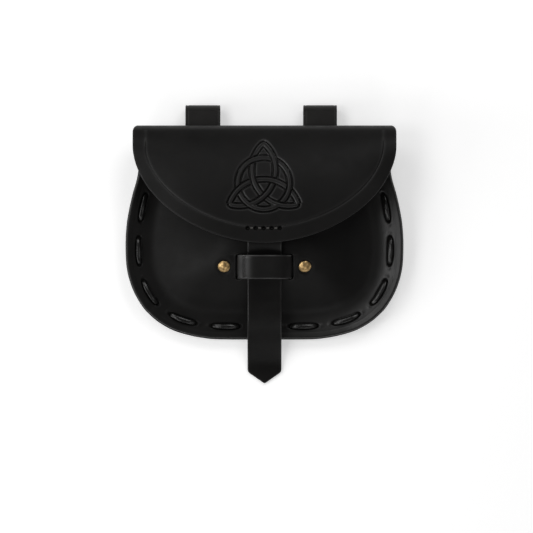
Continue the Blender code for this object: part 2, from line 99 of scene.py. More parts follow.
def findBagPlace():
    # two rays from below touch the flat back, and its foot gives the rest
    tree = treeOf("back_and_flap")
    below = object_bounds()[0].z - bag["foldDepth"]
    low, high = (tree.ray_cast(Vector((0, side * bag["probe"], below)), Vector((0, 0, 1)))[0]
                 for side in (-1, 1))
    tilt = math.atan2(high.z - low.z, high.y - low.y)
    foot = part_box("back_and_flap")[0].y
    y = foot + bag["widestToFoot"] * math.cos(tilt) + bag["leather"] * math.sin(tilt)
    z = low.z + (y - low.y) * math.tan(tilt)
    return Matrix.Translation((0, y, z)) @ Matrix.Rotation(tilt, 4, "X")


bagPlace = findBagPlace()
print("bag place", [round(v, 5) for v in bagPlace.translation],
      "tilt", round(math.degrees(bagPlace.to_euler().x), 3))


# Lines

def smoothStep(share):
    share = np.clip(share, 0, 1)
    return share * share * (3 - 2 * share)


def bell(distance, width):
    return np.exp(-(distance / width) ** 2)


def unit(vectors):
    return vectors / np.linalg.norm(vectors, axis=1)[:, None]


def wayAlong(line):
    return unit(np.gradient(line, axis=0))


def leftOf(ways):
    return np.column_stack([-ways[:, 1], ways[:, 0]])


def throughPoints(points, steps=12):
    # a Catmull-Rom curve
    p = np.array(points, float)
    p = np.vstack([2 * p[0] - p[1], p, 2 * p[-1] - p[-2]])
    t = (np.arange(steps) / steps)[:, None]
    parts = [0.5 * (2 * b + (c - a) * t + (2 * a - 5 * b + 4 * c - d) * t ** 2
                    + (3 * b - a - 3 * c + d) * t ** 3)
             for a, b, c, d in zip(p, p[1:], p[2:], p[3:])]
    return np.vstack(parts + [p[-2:-1]])


def lengthsOf(line):
    return np.concatenate([[0], np.cumsum(np.linalg.norm(np.diff(line, axis=0), axis=1))])


def evenly(line, step):
    lengths = lengthsOf(line)
    even = np.linspace(0, lengths[-1], max(int(round(lengths[-1] / step)), 2) + 1)
    return np.column_stack([np.interp(even, lengths, line[:, axis]) for axis in range(line.shape[1])])


def rectangle(low, high):
    return [low, (high[0], low[1]), high, (low[0], high[1])]


def closedLoop(corners, step, reaches):
    # straight sides through the corners, each corner rounded off over its reach
    corners = np.array(corners, float)
    parts = []
    for i, corner in enumerate(corners):
        before, after = corners[i - 1] - corner, corners[(i + 1) % len(corners)] - corner
        reach = reaches[i % len(reaches)]
        start = corner + before / np.linalg.norm(before) * reach
        end = corner + after / np.linalg.norm(after) * reach
        t = np.linspace(0, 1, 9)[:, None]
        parts.append((1 - t) ** 2 * start + 2 * t * (1 - t) * corner + t ** 2 * end)
    line = np.vstack(parts + [parts[0][:1]])
    return evenly(line, step)[:-1]


def bodyEdge(topY, step):
    half = bag["halfWidth"]
    foot = [(w * half, -d * bag["widestToFoot"]) for w, d in bag["footEdge"]]
    side = [(w * half, r * bag["widestToFold"]) for w, r in bag["sideEdge"]]
    line = throughPoints(foot + side)
    below = line[line[:, 1] < topY]
    return evenly(np.vstack([below, [np.interp(topY, line[:, 1], line[:, 0]), topY]]), step)


def frontEdge(step):
    # the front panel's edge with its outward normals, from the left of the mouth to the right
    right = bodyEdge(mouthY, step)
    points = np.vstack([right[:0:-1] * (-1, 1), right])
    normals = -leftOf(wayAlong(points))
    return points - normals * bag["frontStep"], normals


edgePoints, edgeNormals = frontEdge(bag["edgeStep"])


def rimFlare(away, sideways, y):
    # how far forwards the rim bends, from the distance inside the front's edge and the X share of the
    # edge's normal; it is flat again at the mouth
    bent = np.clip(1 - away / bag["flareWidth"], 0, bag["flareMost"]) ** bag["flarePower"]
    right = sideways > 0
    side = np.where(right, bag["rightFlare"], bag["leftFlare"])
    start = np.where(right, bag["rightTurn"][0], bag["leftTurn"][0])
    end = np.where(right, bag["rightTurn"][1], bag["leftTurn"][1])
    turned = smoothStep((np.abs(sideways) - start) / (end - start))
    reach = bag["footFlare"] + (side - bag["footFlare"]) * turned
    return reach * bent * smoothStep((mouthY - y) / bag["flareEnd"])


def nearestOnEdge(x, y):
    # how far inside the front's edge, and the edge's normal there, smooth between the edge's points
    away, normals = np.empty(len(x)), np.empty((len(x), 2))
    last, batch = len(edgePoints) - 2, 4000
    for start in range(0, len(x), batch):
        part = slice(start, start + batch)
        square = (edgePoints[:, 0] - x[part, None]) ** 2 + (edgePoints[:, 1] - y[part, None]) ** 2
        i = np.clip(np.argmin(square, axis=1), 1, last)
        rows = np.arange(len(i))
        a, b, c = square[rows, i - 1], square[rows, i], square[rows, i + 1]
        shift = np.clip((a - c) / np.maximum(2 * (a - 2 * b + c), 1e-12), -1, 1)
        dx, dy = x[part] - edgePoints[i, 0], y[part] - edgePoints[i, 1]
        out = dx * edgeNormals[i, 0] + dy * edgeNormals[i, 1]
        away[part] = np.sqrt(np.maximum(b - (a - c) * shift / 4, 0)) * np.where(out > 0, -1, 1)
        normals[part] = edgeNormals[i] + (edgeNormals[i + 1] - edgeNormals[i - 1]) / 2 * shift[:, None]
    return away, normals


# Sheets: a flat pattern with holes is filled with triangles, and its two skins and walls are placed in space

sheet = {"edgeTurns": (0, 30, 60, 90), "sharpAngle": 45}      # degrees round an edge, and left sharp


def nearestPoint(line, x, y):
    # which of the line's points is nearest, and how far
    tree = KDTree(len(line))
    for i, point in enumerate(line):
        tree.insert((point[0], point[1], 0), i)
    tree.balance()
    found = [tree.find((a, b, 0)) for a, b in zip(x.tolist(), y.tolist())]
    return np.array([i for _, i, _ in found], int), np.array([away for _, _, away in found])


def nearest(line, x, y):
    return nearestPoint(line, x, y)[1]


def pressedLine(away, look):
    # a crease that runs along an edge, from the distance to that edge
    return -look["creaseDepth"] * bell(away - look["creaseIn"], look["creaseWidth"])


def inside(loop, x, y):
    found = np.zeros(len(x), bool)
    ends = np.roll(loop, -1, axis=0)
    for (x1, y1), (x2, y2) in zip(loop.tolist(), ends.tolist()):
        if y1 != y2:
            crossing = (y1 > y) != (y2 > y)
            found ^= crossing & (x < (x2 - x1) * (y - y1) / (y2 - y1) + x1)
    return found


def gridPoints(low, high, step, keep=None):
    # staggered rows, so that the triangles come out even
    xs = np.arange(low[0], high[0], step)
    ys = np.arange(low[1], high[1], step * 0.866)
    x, y = np.meshgrid(xs, ys)
    x = x + (np.arange(len(ys)) % 2)[:, None] * step / 2
    points = np.column_stack([x.ravel(), y.ravel()])
    return points if keep is None else points[keep(*points.T)]


def inwardOf(loop):
    # the left side of the way round: into the leather for an outline that runs anticlockwise
    return leftOf(unit(np.roll(loop, -1, axis=0) - np.roll(loop, 1, axis=0)))


def normalOf(height, x, y, step):
    # the normal of a surface whose height is a function of x and y
    slopeX = (height(x + step, y) - height(x - step, y)) / (2 * step)
    slopeY = (height(x, y + step) - height(x, y - step)) / (2 * step)
    return unit(np.column_stack([-slopeX, -slopeY, np.ones(len(x))]))


def skin(loops, rings, points, spare):
    # a pattern filled with triangles: its border in rings of inset and drop, and the points well inside
    uv, lift, links = [], [], []
    count = 0
    for inset, drop in rings:
        for loop in loops:
            size = len(loop)
            uv.append(loop + inwardOf(loop) * inset)
            lift.append(np.full(size, drop))
            links += [(count + i, count + (i + 1) % size) for i in range(size)]
            count += size
    borders = np.vstack(uv)
    clear = nearest(borders, *points.T) > spare
    clear &= inside(loops[0], *points.T)
    for loop in loops[1:]:
        near = np.all((points > loop.min(0)) & (points < loop.max(0)), axis=1)
        clear &= ~(near & inside(loop, *points.T))
    points = points[clear]
    uv = np.vstack([borders, points])
    lift = np.concatenate(lift + [np.zeros(len(points))])
    # filled in millimetres
    found = delaunay_2d_cdt([Vector(p) for p in (uv * 1000).tolist()], links, [], 0, 1e-6, False)
    if len(found[0]) != len(uv):
        raise RuntimeError(f"a sheet's pattern crosses itself: {len(uv)} points became {len(found[0])}")
    border = sum(len(loop) for loop in loops)
    faces = np.array(found[2])
    faces = faces[(faces >= border).any(axis=1)]
    return uv, lift, faces


def leatherSheet(name, loops, outerPoints, innerPoints, place, relief, look, finish, burnish=None):
    # place(u, v, lift) gives points in the bag's frame; lift is along the outer face's normal
    edgeRound = look["edgeRound"]
    turns = [math.radians(a) for a in sheet["edgeTurns"]]
    rings = [(edgeRound * (1 - math.cos(a)), -edgeRound * (1 - math.sin(a))) for a in turns]
    uv, drop, faces = skin(loops, rings, outerPoints, look["spare"])
    outer = place(*uv.T, drop + relief(*uv.T))
    plain = [rings[0], rings[-1]]
    uvIn, dropIn, facesIn = skin(loops, plain, innerPoints, look["spare"] * 2)
    inner = place(*uvIn.T, -look["leather"] - dropIn)
    count = len(outer)
    sides = []
    first = 0
    for loop in loops:
        size = len(loop)
        for i in range(size):
            a, b = first + i, first + (i + 1) % size
            sides.append((b, a, count + a, count + b))
        first += size
    faces = faces.tolist() + (facesIn[:, ::-1] + count).tolist() + sides
    wear = np.zeros(count + len(inner))
    if burnish:
        wear[:count] = burnish(*uv.T)
    border = sum(len(loop) for loop in loops)
    wear[:border * len(rings)] = look["rubbedEdge"]
    wear[count:count + border * len(plain)] = look["rubbedEdge"]
    return newPiece(name, np.vstack([outer, inner]), faces, finish, wear)


def tubeFaces(rows, sides, first=0):
    # walls between rows of points and a cap at both ends
    walls = [(first + r * sides + i, first + r * sides + (i + 1) % sides,
              first + (r + 1) * sides + (i + 1) % sides, first + (r + 1) * sides + i)
             for r in range(rows - 1) for i in range(sides)]
    last = first + (rows - 1) * sides
    return walls + [tuple(first + i for i in range(sides)), tuple(last + i for i in reversed(range(sides)))]


def linked(name, data):
    made = bpy.data.objects.new(name, data)
    bpy.context.scene.collection.objects.link(made)
    return made


def newPiece(name, points, faces, finish, wear=None):
    mesh = bpy.data.meshes.new(name)
    mesh.from_pydata([bagPlace @ Vector(p) for p in points.tolist()], [], faces)
    piece = linked(name, mesh)
    mesh.materials.append(finish)
    if wear is None:
        wear = np.zeros(len(points))
    mesh.attributes.new("edgeWear", "FLOAT", "POINT").data.foreach_set("value", wear.astype(np.float32))
    bm = bmesh.new()
    bm.from_mesh(mesh)
    bmesh.ops.recalc_face_normals(bm, faces=bm.faces)
    bm.to_mesh(mesh)
    bm.free()
    select(piece)
    bpy.ops.object.shade_smooth_by_angle(angle=math.radians(sheet["sharpAngle"]))
    print(name, "has", sum(len(p.vertices) - 2 for p in mesh.polygons), "triangles")
    return piece


def select(piece):
    bpy.ops.object.select_all(action="DESELECT")
    piece.select_set(True)
    bpy.context.view_layer.objects.active = piece


def dressed(piece, slotName, *nodes):
    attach(piece, "root")
    if nodes:
        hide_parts(*nodes)


# Finishes

def nodeTree(name):
    material = bpy.data.materials.new(name)
    material.use_nodes = True
    return material, material.node_tree, material.node_tree.nodes["Principled BSDF"]


def feed(tree, node, sockets):
    # each input takes a value or another node's output
    for name, source in sockets.items():
        if isinstance(source, bpy.types.NodeSocket):
            tree.links.new(source, node.inputs[name])
        else:
            node.inputs[name].default_value = source


def added(tree, kind, sockets=None):
    node = tree.nodes.new(kind)
    feed(tree, node, sockets or {})
    return node


def noise(tree, scale, detail, roughness):
    place = added(tree, "ShaderNodeTexCoord").outputs["Object"]
    return added(tree, "ShaderNodeTexNoise", {
        "Vector": place, "Scale": scale, "Detail": detail, "Roughness": roughness}).outputs["Fac"]


def toned(tree, source, span, low, high):
    ramp = added(tree, "ShaderNodeValToRGB", {"Fac": source})
    for element, position, tone in zip(ramp.color_ramp.elements, span, (low, high)):
        element.position = position
        element.color = (*tone, 1)
    return ramp.outputs["Color"]


def leatherFinish(name, look):
    material, tree, shader = nodeTree(name)
    cloud = noise(tree, look["cloudScale"], look["cloudDetail"], look["noiseRough"])
    wear = added(tree, "ShaderNodeAttribute")
    wear.attribute_name = "edgeWear"
    wear = wear.outputs["Fac"]
    worn = added(tree, "ShaderNodeMix")
    worn.data_type = "RGBA"
    feed(tree, worn, {"Factor": wear, "A": toned(tree, cloud, look["cloudSpan"], look["dark"], look["light"]),
                      "B": (*look["edge"], 1)})
    polish = added(tree, "ShaderNodeMapRange", {
        "Value": noise(tree, look["polishScale"], look["polishDetail"], look["noiseRough"]),
        "From Min": look["polishSpan"][0], "From Max": look["polishSpan"][1],
        "To Min": look["smooth"], "To Max": look["rough"]})
    # burnished edges, tooled lines and dents shine more
    rubbed = added(tree, "ShaderNodeMix", {
        "Factor": wear, "A": polish.outputs["Result"], "B": look["burnished"]})
    gloss = added(tree, "ShaderNodeMix", {"Factor": wear, "A": look["gloss"], "B": look["burnishedGloss"]})
    pores = added(tree, "ShaderNodeTexVoronoi", {
        "Vector": added(tree, "ShaderNodeTexCoord").outputs["Object"], "Scale": look["poreScale"]})
    pores.feature = "SMOOTH_F1"
    # pressed and burnished leather has no open pores
    unworn = added(tree, "ShaderNodeMapRange", {"Value": wear, "To Min": look["poreStrength"], "To Max": 0})
    fine = added(tree, "ShaderNodeBump", {
        "Strength": unworn.outputs["Result"], "Distance": look["poreDepth"],
        "Height": pores.outputs["Distance"]})
    wide = added(tree, "ShaderNodeBump", {
        "Strength": look["waveStrength"], "Distance": look["waveDepth"],
        "Height": noise(tree, look["waveScale"], look["waveDetail"], look["noiseRough"]),
        "Normal": fine.outputs["Normal"]})
    feed(tree, shader, {"Base Color": worn.outputs["Result"], "Roughness": rubbed.outputs["Result"],
                        "Specular IOR Level": gloss.outputs["Result"], "Normal": wide.outputs["Normal"]})
    return material


bodyLook = {
    "dark": (.0052, .0050, .0048), "light": (.0078, .0074, .0071), "edge": (.0070, .0066, .0062),
    "smooth": .42, "rough": .52, "gloss": .135, "burnished": .24, "burnishedGloss": 1.0,
    "cloudScale": 45, "polishScale": 110, "poreScale": 1300, "waveScale": 160,
    "cloudDetail": 3, "polishDetail": 4, "waveDetail": 2, "noiseRough": 0.55,
    "cloudSpan": (.3, .75), "polishSpan": (.3, .7),
    "poreStrength": .25, "poreDepth": .00012, "waveStrength": .25, "waveDepth": .00025,
}
strapLook = {**bodyLook, "smooth": .32, "rough": .40, "gloss": .125, "burnishedGloss": .55,
             "cloudScale": 70, "waveScale": 220}
# the belt loops are the strap's black leather painted much lighter: painted light for the light they catch
loopPaintedLightLook = {**strapLook, "dark": (.0230, .0222, .0214), "light": (.0300, .0290, .0280)}
keeperLook = {**strapLook, "smooth": .42, "rough": .50, "gloss": .11, "burnished": .25, "burnishedGloss": 1.0}
laceLook = {**bodyLook, "smooth": .20, "rough": .27, "gloss": .45,
            "cloudScale": 200, "poreScale": 1800, "waveScale": 500}
# the thread: its own dark grey, painted lighter still as a painted highlight on the stitches
threadAndHighlightLook = {**laceLook, "dark": (.040, .037, .034), "light": (.060, .056, .052), "edge": (.05, .05, .05),
              "smooth": .30, "rough": .40, "gloss": .6}
bodyLeather = leatherFinish("black_leather_finish", bodyLook)
strapLeather = leatherFinish("strap_leather_finish", strapLook)
loopPaintedLightLeather = leatherFinish("belt_loop_painted_light_finish", loopPaintedLightLook)
keeperLeather = leatherFinish("keeper_leather_finish", keeperLook)
laceLeather = leatherFinish("lace_leather_finish", laceLook)
threadAndHighlightFinish = leatherFinish("waxed_thread_and_painted_highlight_finish", threadAndHighlightLook)


def brassFinish(name, look):
    material, tree, shader = nodeTree(name)
    patina = noise(tree, look["patinaScale"], look["patinaDetail"], look["noiseRough"])
    polish = added(tree, "ShaderNodeMapRange", {
        "Value": patina, "To Min": look["rough"], "To Max": look["smooth"]})
    pits = added(tree, "ShaderNodeBump", {
        "Strength": look["pitStrength"], "Distance": look["pitDepth"], "Height": patina})
    feed(tree, shader, {"Base Color": toned(tree, patina, look["patinaSpan"], look["tarnish"], look["metal"]),
                        "Roughness": polish.outputs["Result"], "Metallic": 1,
                        "Normal": pits.outputs["Normal"]})
    return material


brassLook = {"metal": (.58, .40, .185), "tarnish": (.40, .26, .115), "smooth": .28, "rough": .42,
             "patinaScale": 600, "patinaDetail": 5, "noiseRough": 0.5, "patinaSpan": (.35, .65),
             "pitStrength": .3, "pitDepth": .0001}
brass = brassFinish("antique_brass_finish", brassLook)
print("finishes made")


# The flap and back: up the back, round the fold and down the flap

flap = {
    "leather": bag["leather"],
    "halfWidth": 0.0948,
    "drop": 0.0845,           # from the fold's top to the flap's lowest point
    "curveDepth": 0.0688,
    "curvePower": 1.85,
    "tipDepth": 0.0450,
    "tipSlope": 0.05,
    "firstSlope": 0.90,       # where the flap leaves the roll
    "sideDroop": 0.0160,
    "rightDroop": 0.0110,     # the flap's right side stands off more
    "droopPower": 3.6,
    "droopLength": 0.0400,
    "edgeRound": 0.0008,
    "outlineStep": 0.0007, "backEdgeStep": 0.001, "rollTurns": 40, "curveTurns": 160,
    "slopeStep": 0.0004, "fadeRounds": 30,
    "flapStep": 0.00125, "backStep": 0.0035, "rollStep": 0.00126, "knotStep": 0.00022, "innerStep": 0.0045,
    "spare": 0.00022, "rollOver": 0.002,
    "creaseInSide": 0.0094, "creaseInFoot": 0.0110, "creaseWidth": 0.00032, "creaseDepth": 0.00034,
    "creaseLip": 0.00006, "creaseFrom": 0.0745, "creaseFade": 0.006, "creaseStep": 0.0004,
    "creaseRows": (-3.6, -2.4, -1.2, -.6, 0, .6, 1.2, 2.4, 3.6),      # shares of its width
    "creaseClear": 0.0016, "creaseBurnish": 0.18, "creaseBurnishWidth": 0.0012, "rubbedEdge": 0.10,
}
tipY = bag["widestToFold"] - flap["drop"]
flapTurnY = tipY + flap["curveDepth"]
rollTurn = math.pi - math.atan(flap["firstSlope"])
exitY = rollY + foldRadius * math.sin(rollTurn)
exitZ = foldRadius * (1 - math.cos(rollTurn))
backLength = rollY - footY
rollEnd = backLength + foldRadius * rollTurn
flapEnd = rollEnd + exitY - tipY


def toLength(y):
    # lengths run up the back, round the fold and down the flap
    return rollEnd + exitY - y


def toY(s):
    return exitY - (s - rollEnd)


def levelling():
    # the length over which the first slope fades to the last, so that the flap ends at its tip's depth
    long = exitY - tipY
    fade = long / 3
    for _ in range(flap["fadeRounds"]):
        rise = (flap["tipDepth"] - exitZ - flap["tipSlope"] * long) / (1 - math.exp(-long / fade))
        fade = rise / (flap["firstSlope"] - flap["tipSlope"])
    return fade, rise


fadeLength, fadeRise = levelling()


def flapHeight(x, y):
    down = np.maximum(exitY - y, 0)
    middle = exitZ + flap["tipSlope"] * down + fadeRise * (1 - np.exp(-down / fadeLength))
    droop = np.where(x < 0, flap["sideDroop"], flap["rightDroop"])
    droop = droop * (np.abs(x) / flap["halfWidth"]) ** flap["droopPower"]
    return middle - droop * smoothStep((exitY - y) / flap["droopLength"])


def placeFlap(x, s, lift):
    turn = np.clip((s - backLength) / foldRadius, 0, rollTurn)
    onBack, onFlap = s < backLength, s > rollEnd
    y = rollY + foldRadius * np.sin(turn)
    z = foldRadius * (1 - np.cos(turn))
    normal = np.column_stack([np.zeros(len(x)), np.sin(turn), -np.cos(turn)])
    y = np.where(onBack, footY + s, y)
    back = np.flatnonzero(onBack)
    if len(back):
        away, normals = nearestOnEdge(x[back], y[back])
        z[back] = rimFlare(away, normals[:, 0], y[back])
    flapY = toY(s)
    y = np.where(onFlap, flapY, y)
    z = np.where(onFlap, flapHeight(x, flapY), z)
    normal = np.where(onFlap[:, None], normalOf(flapHeight, x, flapY, flap["slopeStep"]), normal)
    return np.column_stack([x, y, z]) + normal * lift[:, None]


def flapOutline():
    edge = bodyEdge(rollY, flap["backEdgeStep"])
    back = np.column_stack([edge[:, 0], edge[:, 1] - footY])
    turns = np.linspace(0, rollTurn, flap["rollTurns"])[1:]
    half = edge[-1, 0] + (flap["halfWidth"] - edge[-1, 0]) * smoothStep((turns / rollTurn) ** 2)
    roll = np.column_stack([half, backLength + foldRadius * turns])
    angles = np.linspace(0, math.pi / 2, flap["curveTurns"])
    power = 2 / flap["curvePower"]
    x = flap["halfWidth"] * np.cos(angles) ** power
    y = flapTurnY - flap["curveDepth"] * np.sin(angles) ** power
    x[-1] = 0
    front = np.column_stack([x, toLength(y)])
    right = evenly(np.vstack([back, roll, front]), flap["outlineStep"])
    left = right[-2:0:-1] * (-1, 1)
    return np.vstack([right, left]), np.column_stack([x, y])


def flapCrease(edge):
    # a line pressed in beside the flap's edge
    inward = -leftOf(wayAlong(edge))
    inset = flap["creaseInSide"] + (flap["creaseInFoot"] - flap["creaseInSide"]) * inward[:, 1:] ** 2
    right = edge + inward * inset
    right = right[right[:, 0] > 0]
    right = np.vstack([[[right[0, 0], exitY]], right])
    return evenly(np.vstack([right, right[::-1] * (-1, 1)]), flap["creaseStep"])


# The knot pressed into the flap: three arcs and a ring, woven over and under
knot = {
    "middleX": -0.00054,
    "top": 0.0743, "low": 0.0307, "lowHalf": 0.0236,
    "arcRadius": 0.0259, "sideX": 0.01745, "sideY": 0.0556, "lowY": 0.0230,
    "ringY": 0.0459, "ringRadius": 0.0186,
    # each strand lies between two grooves
    "strand": 0.00195, "crown": 0.00010, "shoulderDepth": 0.00060, "shoulderWidth": 0.00092,
    "grooveDepth": 0.00125, "grooveWidth": 0.00048, "reach": 0.0066,
    "burnish": 1.0, "burnishWidth": 0.0011, "lip": 0.00004, "lipAt": 0.00360, "lipWidth": 0.00060,
    "lipReach": 1.3, "halfField": 0.031, "fieldTop": 0.079, "fieldLow": 0.0225,
    # over, under, where: x from the knot's middle, y up the bag
    "crossings": (("ring", "leftArc", -.0084, .0627), ("lowArc", "ring", -.0181, .0446),
                  ("ring", "rightArc", -.0163, .0340), ("leftArc", "ring", .0163, .0340),
                  ("ring", "lowArc", .0181, .0446), ("rightArc", "ring", .0084, .0627),
                  ("lowArc", "rightArc", .0073, .0479), ("rightArc", "leftArc", 0, .0377),
                  ("leftArc", "lowArc", -.0075, .0488)),
}


def toArc(x, y, centre, radius, start, end):
    # distance to an arc that joins two points, the short way past the angle between them
    dx, dy = x - centre[0], y - centre[1]
    away = np.abs(np.hypot(dx, dy) - radius)
    first = math.atan2(start[1] - centre[1], start[0] - centre[0])
    span = (math.atan2(end[1] - centre[1], end[0] - centre[0]) - first) % (2 * math.pi)
    turn = (np.arctan2(dy, dx) - first) % (2 * math.pi)
    ends = np.minimum(np.hypot(x - start[0], y - start[1]), np.hypot(x - end[0], y - end[1]))
    return np.where(turn <= span, away, ends)


def strands(x, y):
    x = x - knot["middleX"]
    top, left, right = (0, knot["top"]), (-knot["lowHalf"], knot["low"]), (knot["lowHalf"], knot["low"])
    radius = knot["arcRadius"]
    return x, {
        "rightArc": toArc(x, y, (-knot["sideX"], knot["sideY"]), radius, left, top),
        "leftArc": toArc(x, y, (knot["sideX"], knot["sideY"]), radius, top, right),
        "lowArc": toArc(x, y, (0, knot["lowY"]), radius, right, left),
        "ring": np.abs(np.hypot(x, y - knot["ringY"]) - knot["ringRadius"]),
    }


def knotDistance(x, y):
    return np.min(list(strands(x, y)[1].values()), axis=0)


def knotLines(x, y):
    # distance to the middle of the strand that shows, gaps where one runs under another
    x, away = strands(x, y)
    shown = {name: value.copy() for name, value in away.items()}
    for over, under, crossX, crossY in knot["crossings"]:
        near = np.hypot(x - crossX, y - crossY) < knot["reach"]
        shown[under][near & (away[over] < knot["strand"] + knot["grooveWidth"])] = 1
    return np.min(list(shown.values()), axis=0)


def knotRelief(x, y):
    q = knotLines(x, y)
    crown = knot["crown"] * np.clip(1 - (q / knot["strand"]) ** 2, 0, 1)
    groove = (knot["grooveDepth"] * bell(q - knot["strand"], knot["grooveWidth"])
              + knot["shoulderDepth"] * bell(q - knot["strand"], knot["shoulderWidth"]))
    lip = knot["lip"] * bell(q - knot["lipAt"], knot["lipWidth"])
    return crown - groove + lip


# The row of stitches that holds the strap under the flap's tip
seam = {
    "y": 0.01366, "firstX": -0.0120, "pitch": 0.00575, "holes": 5,
    "holeHalfWidth": 0.0013, "holeHalfHeight": 0.0013, "holeDepth": 0.0024,
    "margin": 0.0026, "step": 0.00028, "thread": 0.00078, "threadSides": 12, "threadRows": 25, "sunk": 0.0024,
    "inset": 0.0011, "swell": 0.45, "rise": 0.30,
}
seamXs = [seam["firstX"] + i * seam["pitch"] for i in range(seam["holes"])]


def seamRelief(x, y):
    total = np.zeros(len(x))
    for hole in seamXs:
        away = np.hypot((x - hole) / seam["holeHalfWidth"], (y - seam["y"]) / seam["holeHalfHeight"])
        total -= seam["holeDepth"] * np.exp(-away ** 4)
    return total


def buildThread():
    # a short stitch between each two holes, its ends sunk in them
    points, faces = [], []
    sides, rows = seam["threadSides"], seam["threadRows"]
    for start in seamXs[:-1]:
        shares = np.linspace(0, 1, rows)
        x = start + seam["inset"] + shares * (seam["pitch"] - 2 * seam["inset"])
        y = np.full(rows, seam["y"])
        up = smoothStep(np.minimum(shares, 1 - shares) / seam["rise"])
        lift = seam["thread"] * seam["swell"] * up - seam["sunk"] * (1 - up)
        middle = placeFlap(x, toLength(y), lift)
        first = len(points)
        for spot in middle:
            for i in range(sides):
                angle = 2 * math.pi * i / sides
                points.append(spot + np.array([0, math.cos(angle), math.sin(angle)]) * seam["thread"])
        faces += tubeFaces(rows, sides, first)
    # the stitches take the lighter thread colour, partly their own grey and partly painted highlight
    return newPiece("seam_thread", np.array(points), faces, threadAndHighlightFinish)


def buildFlap():
    outline, edge = flapOutline()
    crease = flapCrease(edge)
    creaseUv = np.column_stack([crease[:, 0], toLength(crease[:, 1])])

    def relief(x, s):
        y = toY(s)
        on = s > rollEnd - flap["rollOver"]
        lift = np.zeros(len(x))
        away = nearest(crease, x[on], y[on])
        fade = smoothStep((flap["creaseFrom"] - y[on]) / flap["creaseFade"] + 1)
        lift[on] = -flap["creaseDepth"] * bell(away, flap["creaseWidth"]) * fade
        lift[on] += flap["creaseLip"] * bell(away - 3 * flap["creaseWidth"], flap["creaseWidth"]) * fade
        lift[on] += knotRelief(x[on], y[on]) * (y[on] < exitY)
        lift[on] += seamRelief(x[on], y[on])
        return lift

    def burnish(x, s):
        y = toY(s)
        pressed = knot["burnish"] * bell(knotLines(x, y) - knot["strand"], knot["burnishWidth"])
        rubbed = flap["creaseBurnish"] * bell(nearest(crease, x, y), flap["creaseBurnishWidth"])
        return np.maximum(pressed, rubbed) * (y < exitY) * (s > rollEnd)

    wide = bag["halfWidth"]
    knotBand = knot["lipAt"] + knot["lipReach"] * knot["lipWidth"]
    rowLow, rowHigh = seam["y"] - seam["margin"], seam["y"] + seam["margin"]
    rowLeft, rowRight = seamXs[0] - seam["margin"], seamXs[-1] + seam["margin"]

    def inRow(x, y):
        return (y > rowLow) & (y < rowHigh) & (x > rowLeft) & (x < rowRight)

    def nearKnot(x, s):
        return knotDistance(x, toY(s)) < knotBand

    def plain(x, s):
        return ~nearKnot(x, s) & ~inRow(x, toY(s))

    base = np.vstack([gridPoints((-wide, 0), (wide, backLength), flap["backStep"]),
                      gridPoints((-wide, backLength), (wide, rollEnd), flap["rollStep"]),
                      gridPoints((-wide, rollEnd), (wide, flapEnd), flap["flapStep"], plain)])
    base = base[nearest(creaseUv, *base.T) > flap["creaseClear"]]
    dense = gridPoints((-knot["halfField"], toLength(knot["fieldTop"])),
                       (knot["halfField"], toLength(knot["fieldLow"])), flap["knotStep"], nearKnot)
    row = gridPoints((rowLeft, toLength(rowHigh)), (rowRight, toLength(rowLow)), seam["step"])
    across = leftOf(wayAlong(creaseUv))
    lines = [creaseUv + across * offset * flap["creaseWidth"] for offset in flap["creaseRows"]]
    innerGrid = gridPoints((-wide, 0), (wide, flapEnd), flap["innerStep"])
    holes = [np.column_stack([hole[:, 0], hole[:, 1] - footY]) for hole in laceHoles("back")]
    return leatherSheet("flap_and_back", [outline] + holes, np.vstack([base, dense, row] + lines), innerGrid,
                        placeFlap, relief, flap, bodyLeather, burnish)


# The front panel: a flat laced flange round a moulded belly

front = {
    "leather": bag["leather"],
    "burnish": 0.40, "burnishTurn": 0.0500, "flange": 0.0160, "bellyRise": 0.0290, "mouthRise": 0.0130,
    "sideShoulder": 0.0600, "footShoulder": 0.0410, "straight": 0.50, "mouthPower": 1.5,
    "bend": 0.0060,           # how gently the belly leaves the flange
    "edgeRound": 0.0007, "outlineStep": 0.0007, "flangeStep": 0.0008, "bellyStep": 0.0013,
    "dentStep": 0.00042, "keeperStep": 0.0006, "innerStep": 0.004, "spare": 0.00025, "slopeStep": 0.0005,
    "flangePast": 0.002, "dentReach": 0.0056, "cornerPoints": 5,
    "softGrid": 0.0015, "softReach": 0.0085, "softFrom": 0.0160, "softOver": 0.0160, "softTop": 1.4,
    "creaseIn": 0.0040, "creaseWidth": 0.00045, "creaseDepth": 0.00012, "rubbedEdge": 0.12,
}


def firmBelly(x, y):
    # the belly as its distance from the edge gives it, with a fold where two sides are equally far
    away, normals = nearestOnEdge(x, y)
    past = away - front["flange"]
    past = (past + np.sqrt(past ** 2 + front["bend"] ** 2)) / 2
    past -= (np.sqrt(front["flange"] ** 2 + front["bend"] ** 2) - front["flange"]) / 2
    shoulder = front["sideShoulder"] * normals[:, 0] ** 2 + front["footShoulder"] * normals[:, 1] ** 2
    share = np.clip(past / shoulder, 0, 1)
    rise = front["straight"] * share + (1 - front["straight"]) * smoothStep(share)
    fall = np.maximum(y, 0) / mouthY
    depth = front["bellyRise"] - (front["bellyRise"] - front["mouthRise"]) * fall ** front["mouthPower"]
    return depth * rise, away, normals


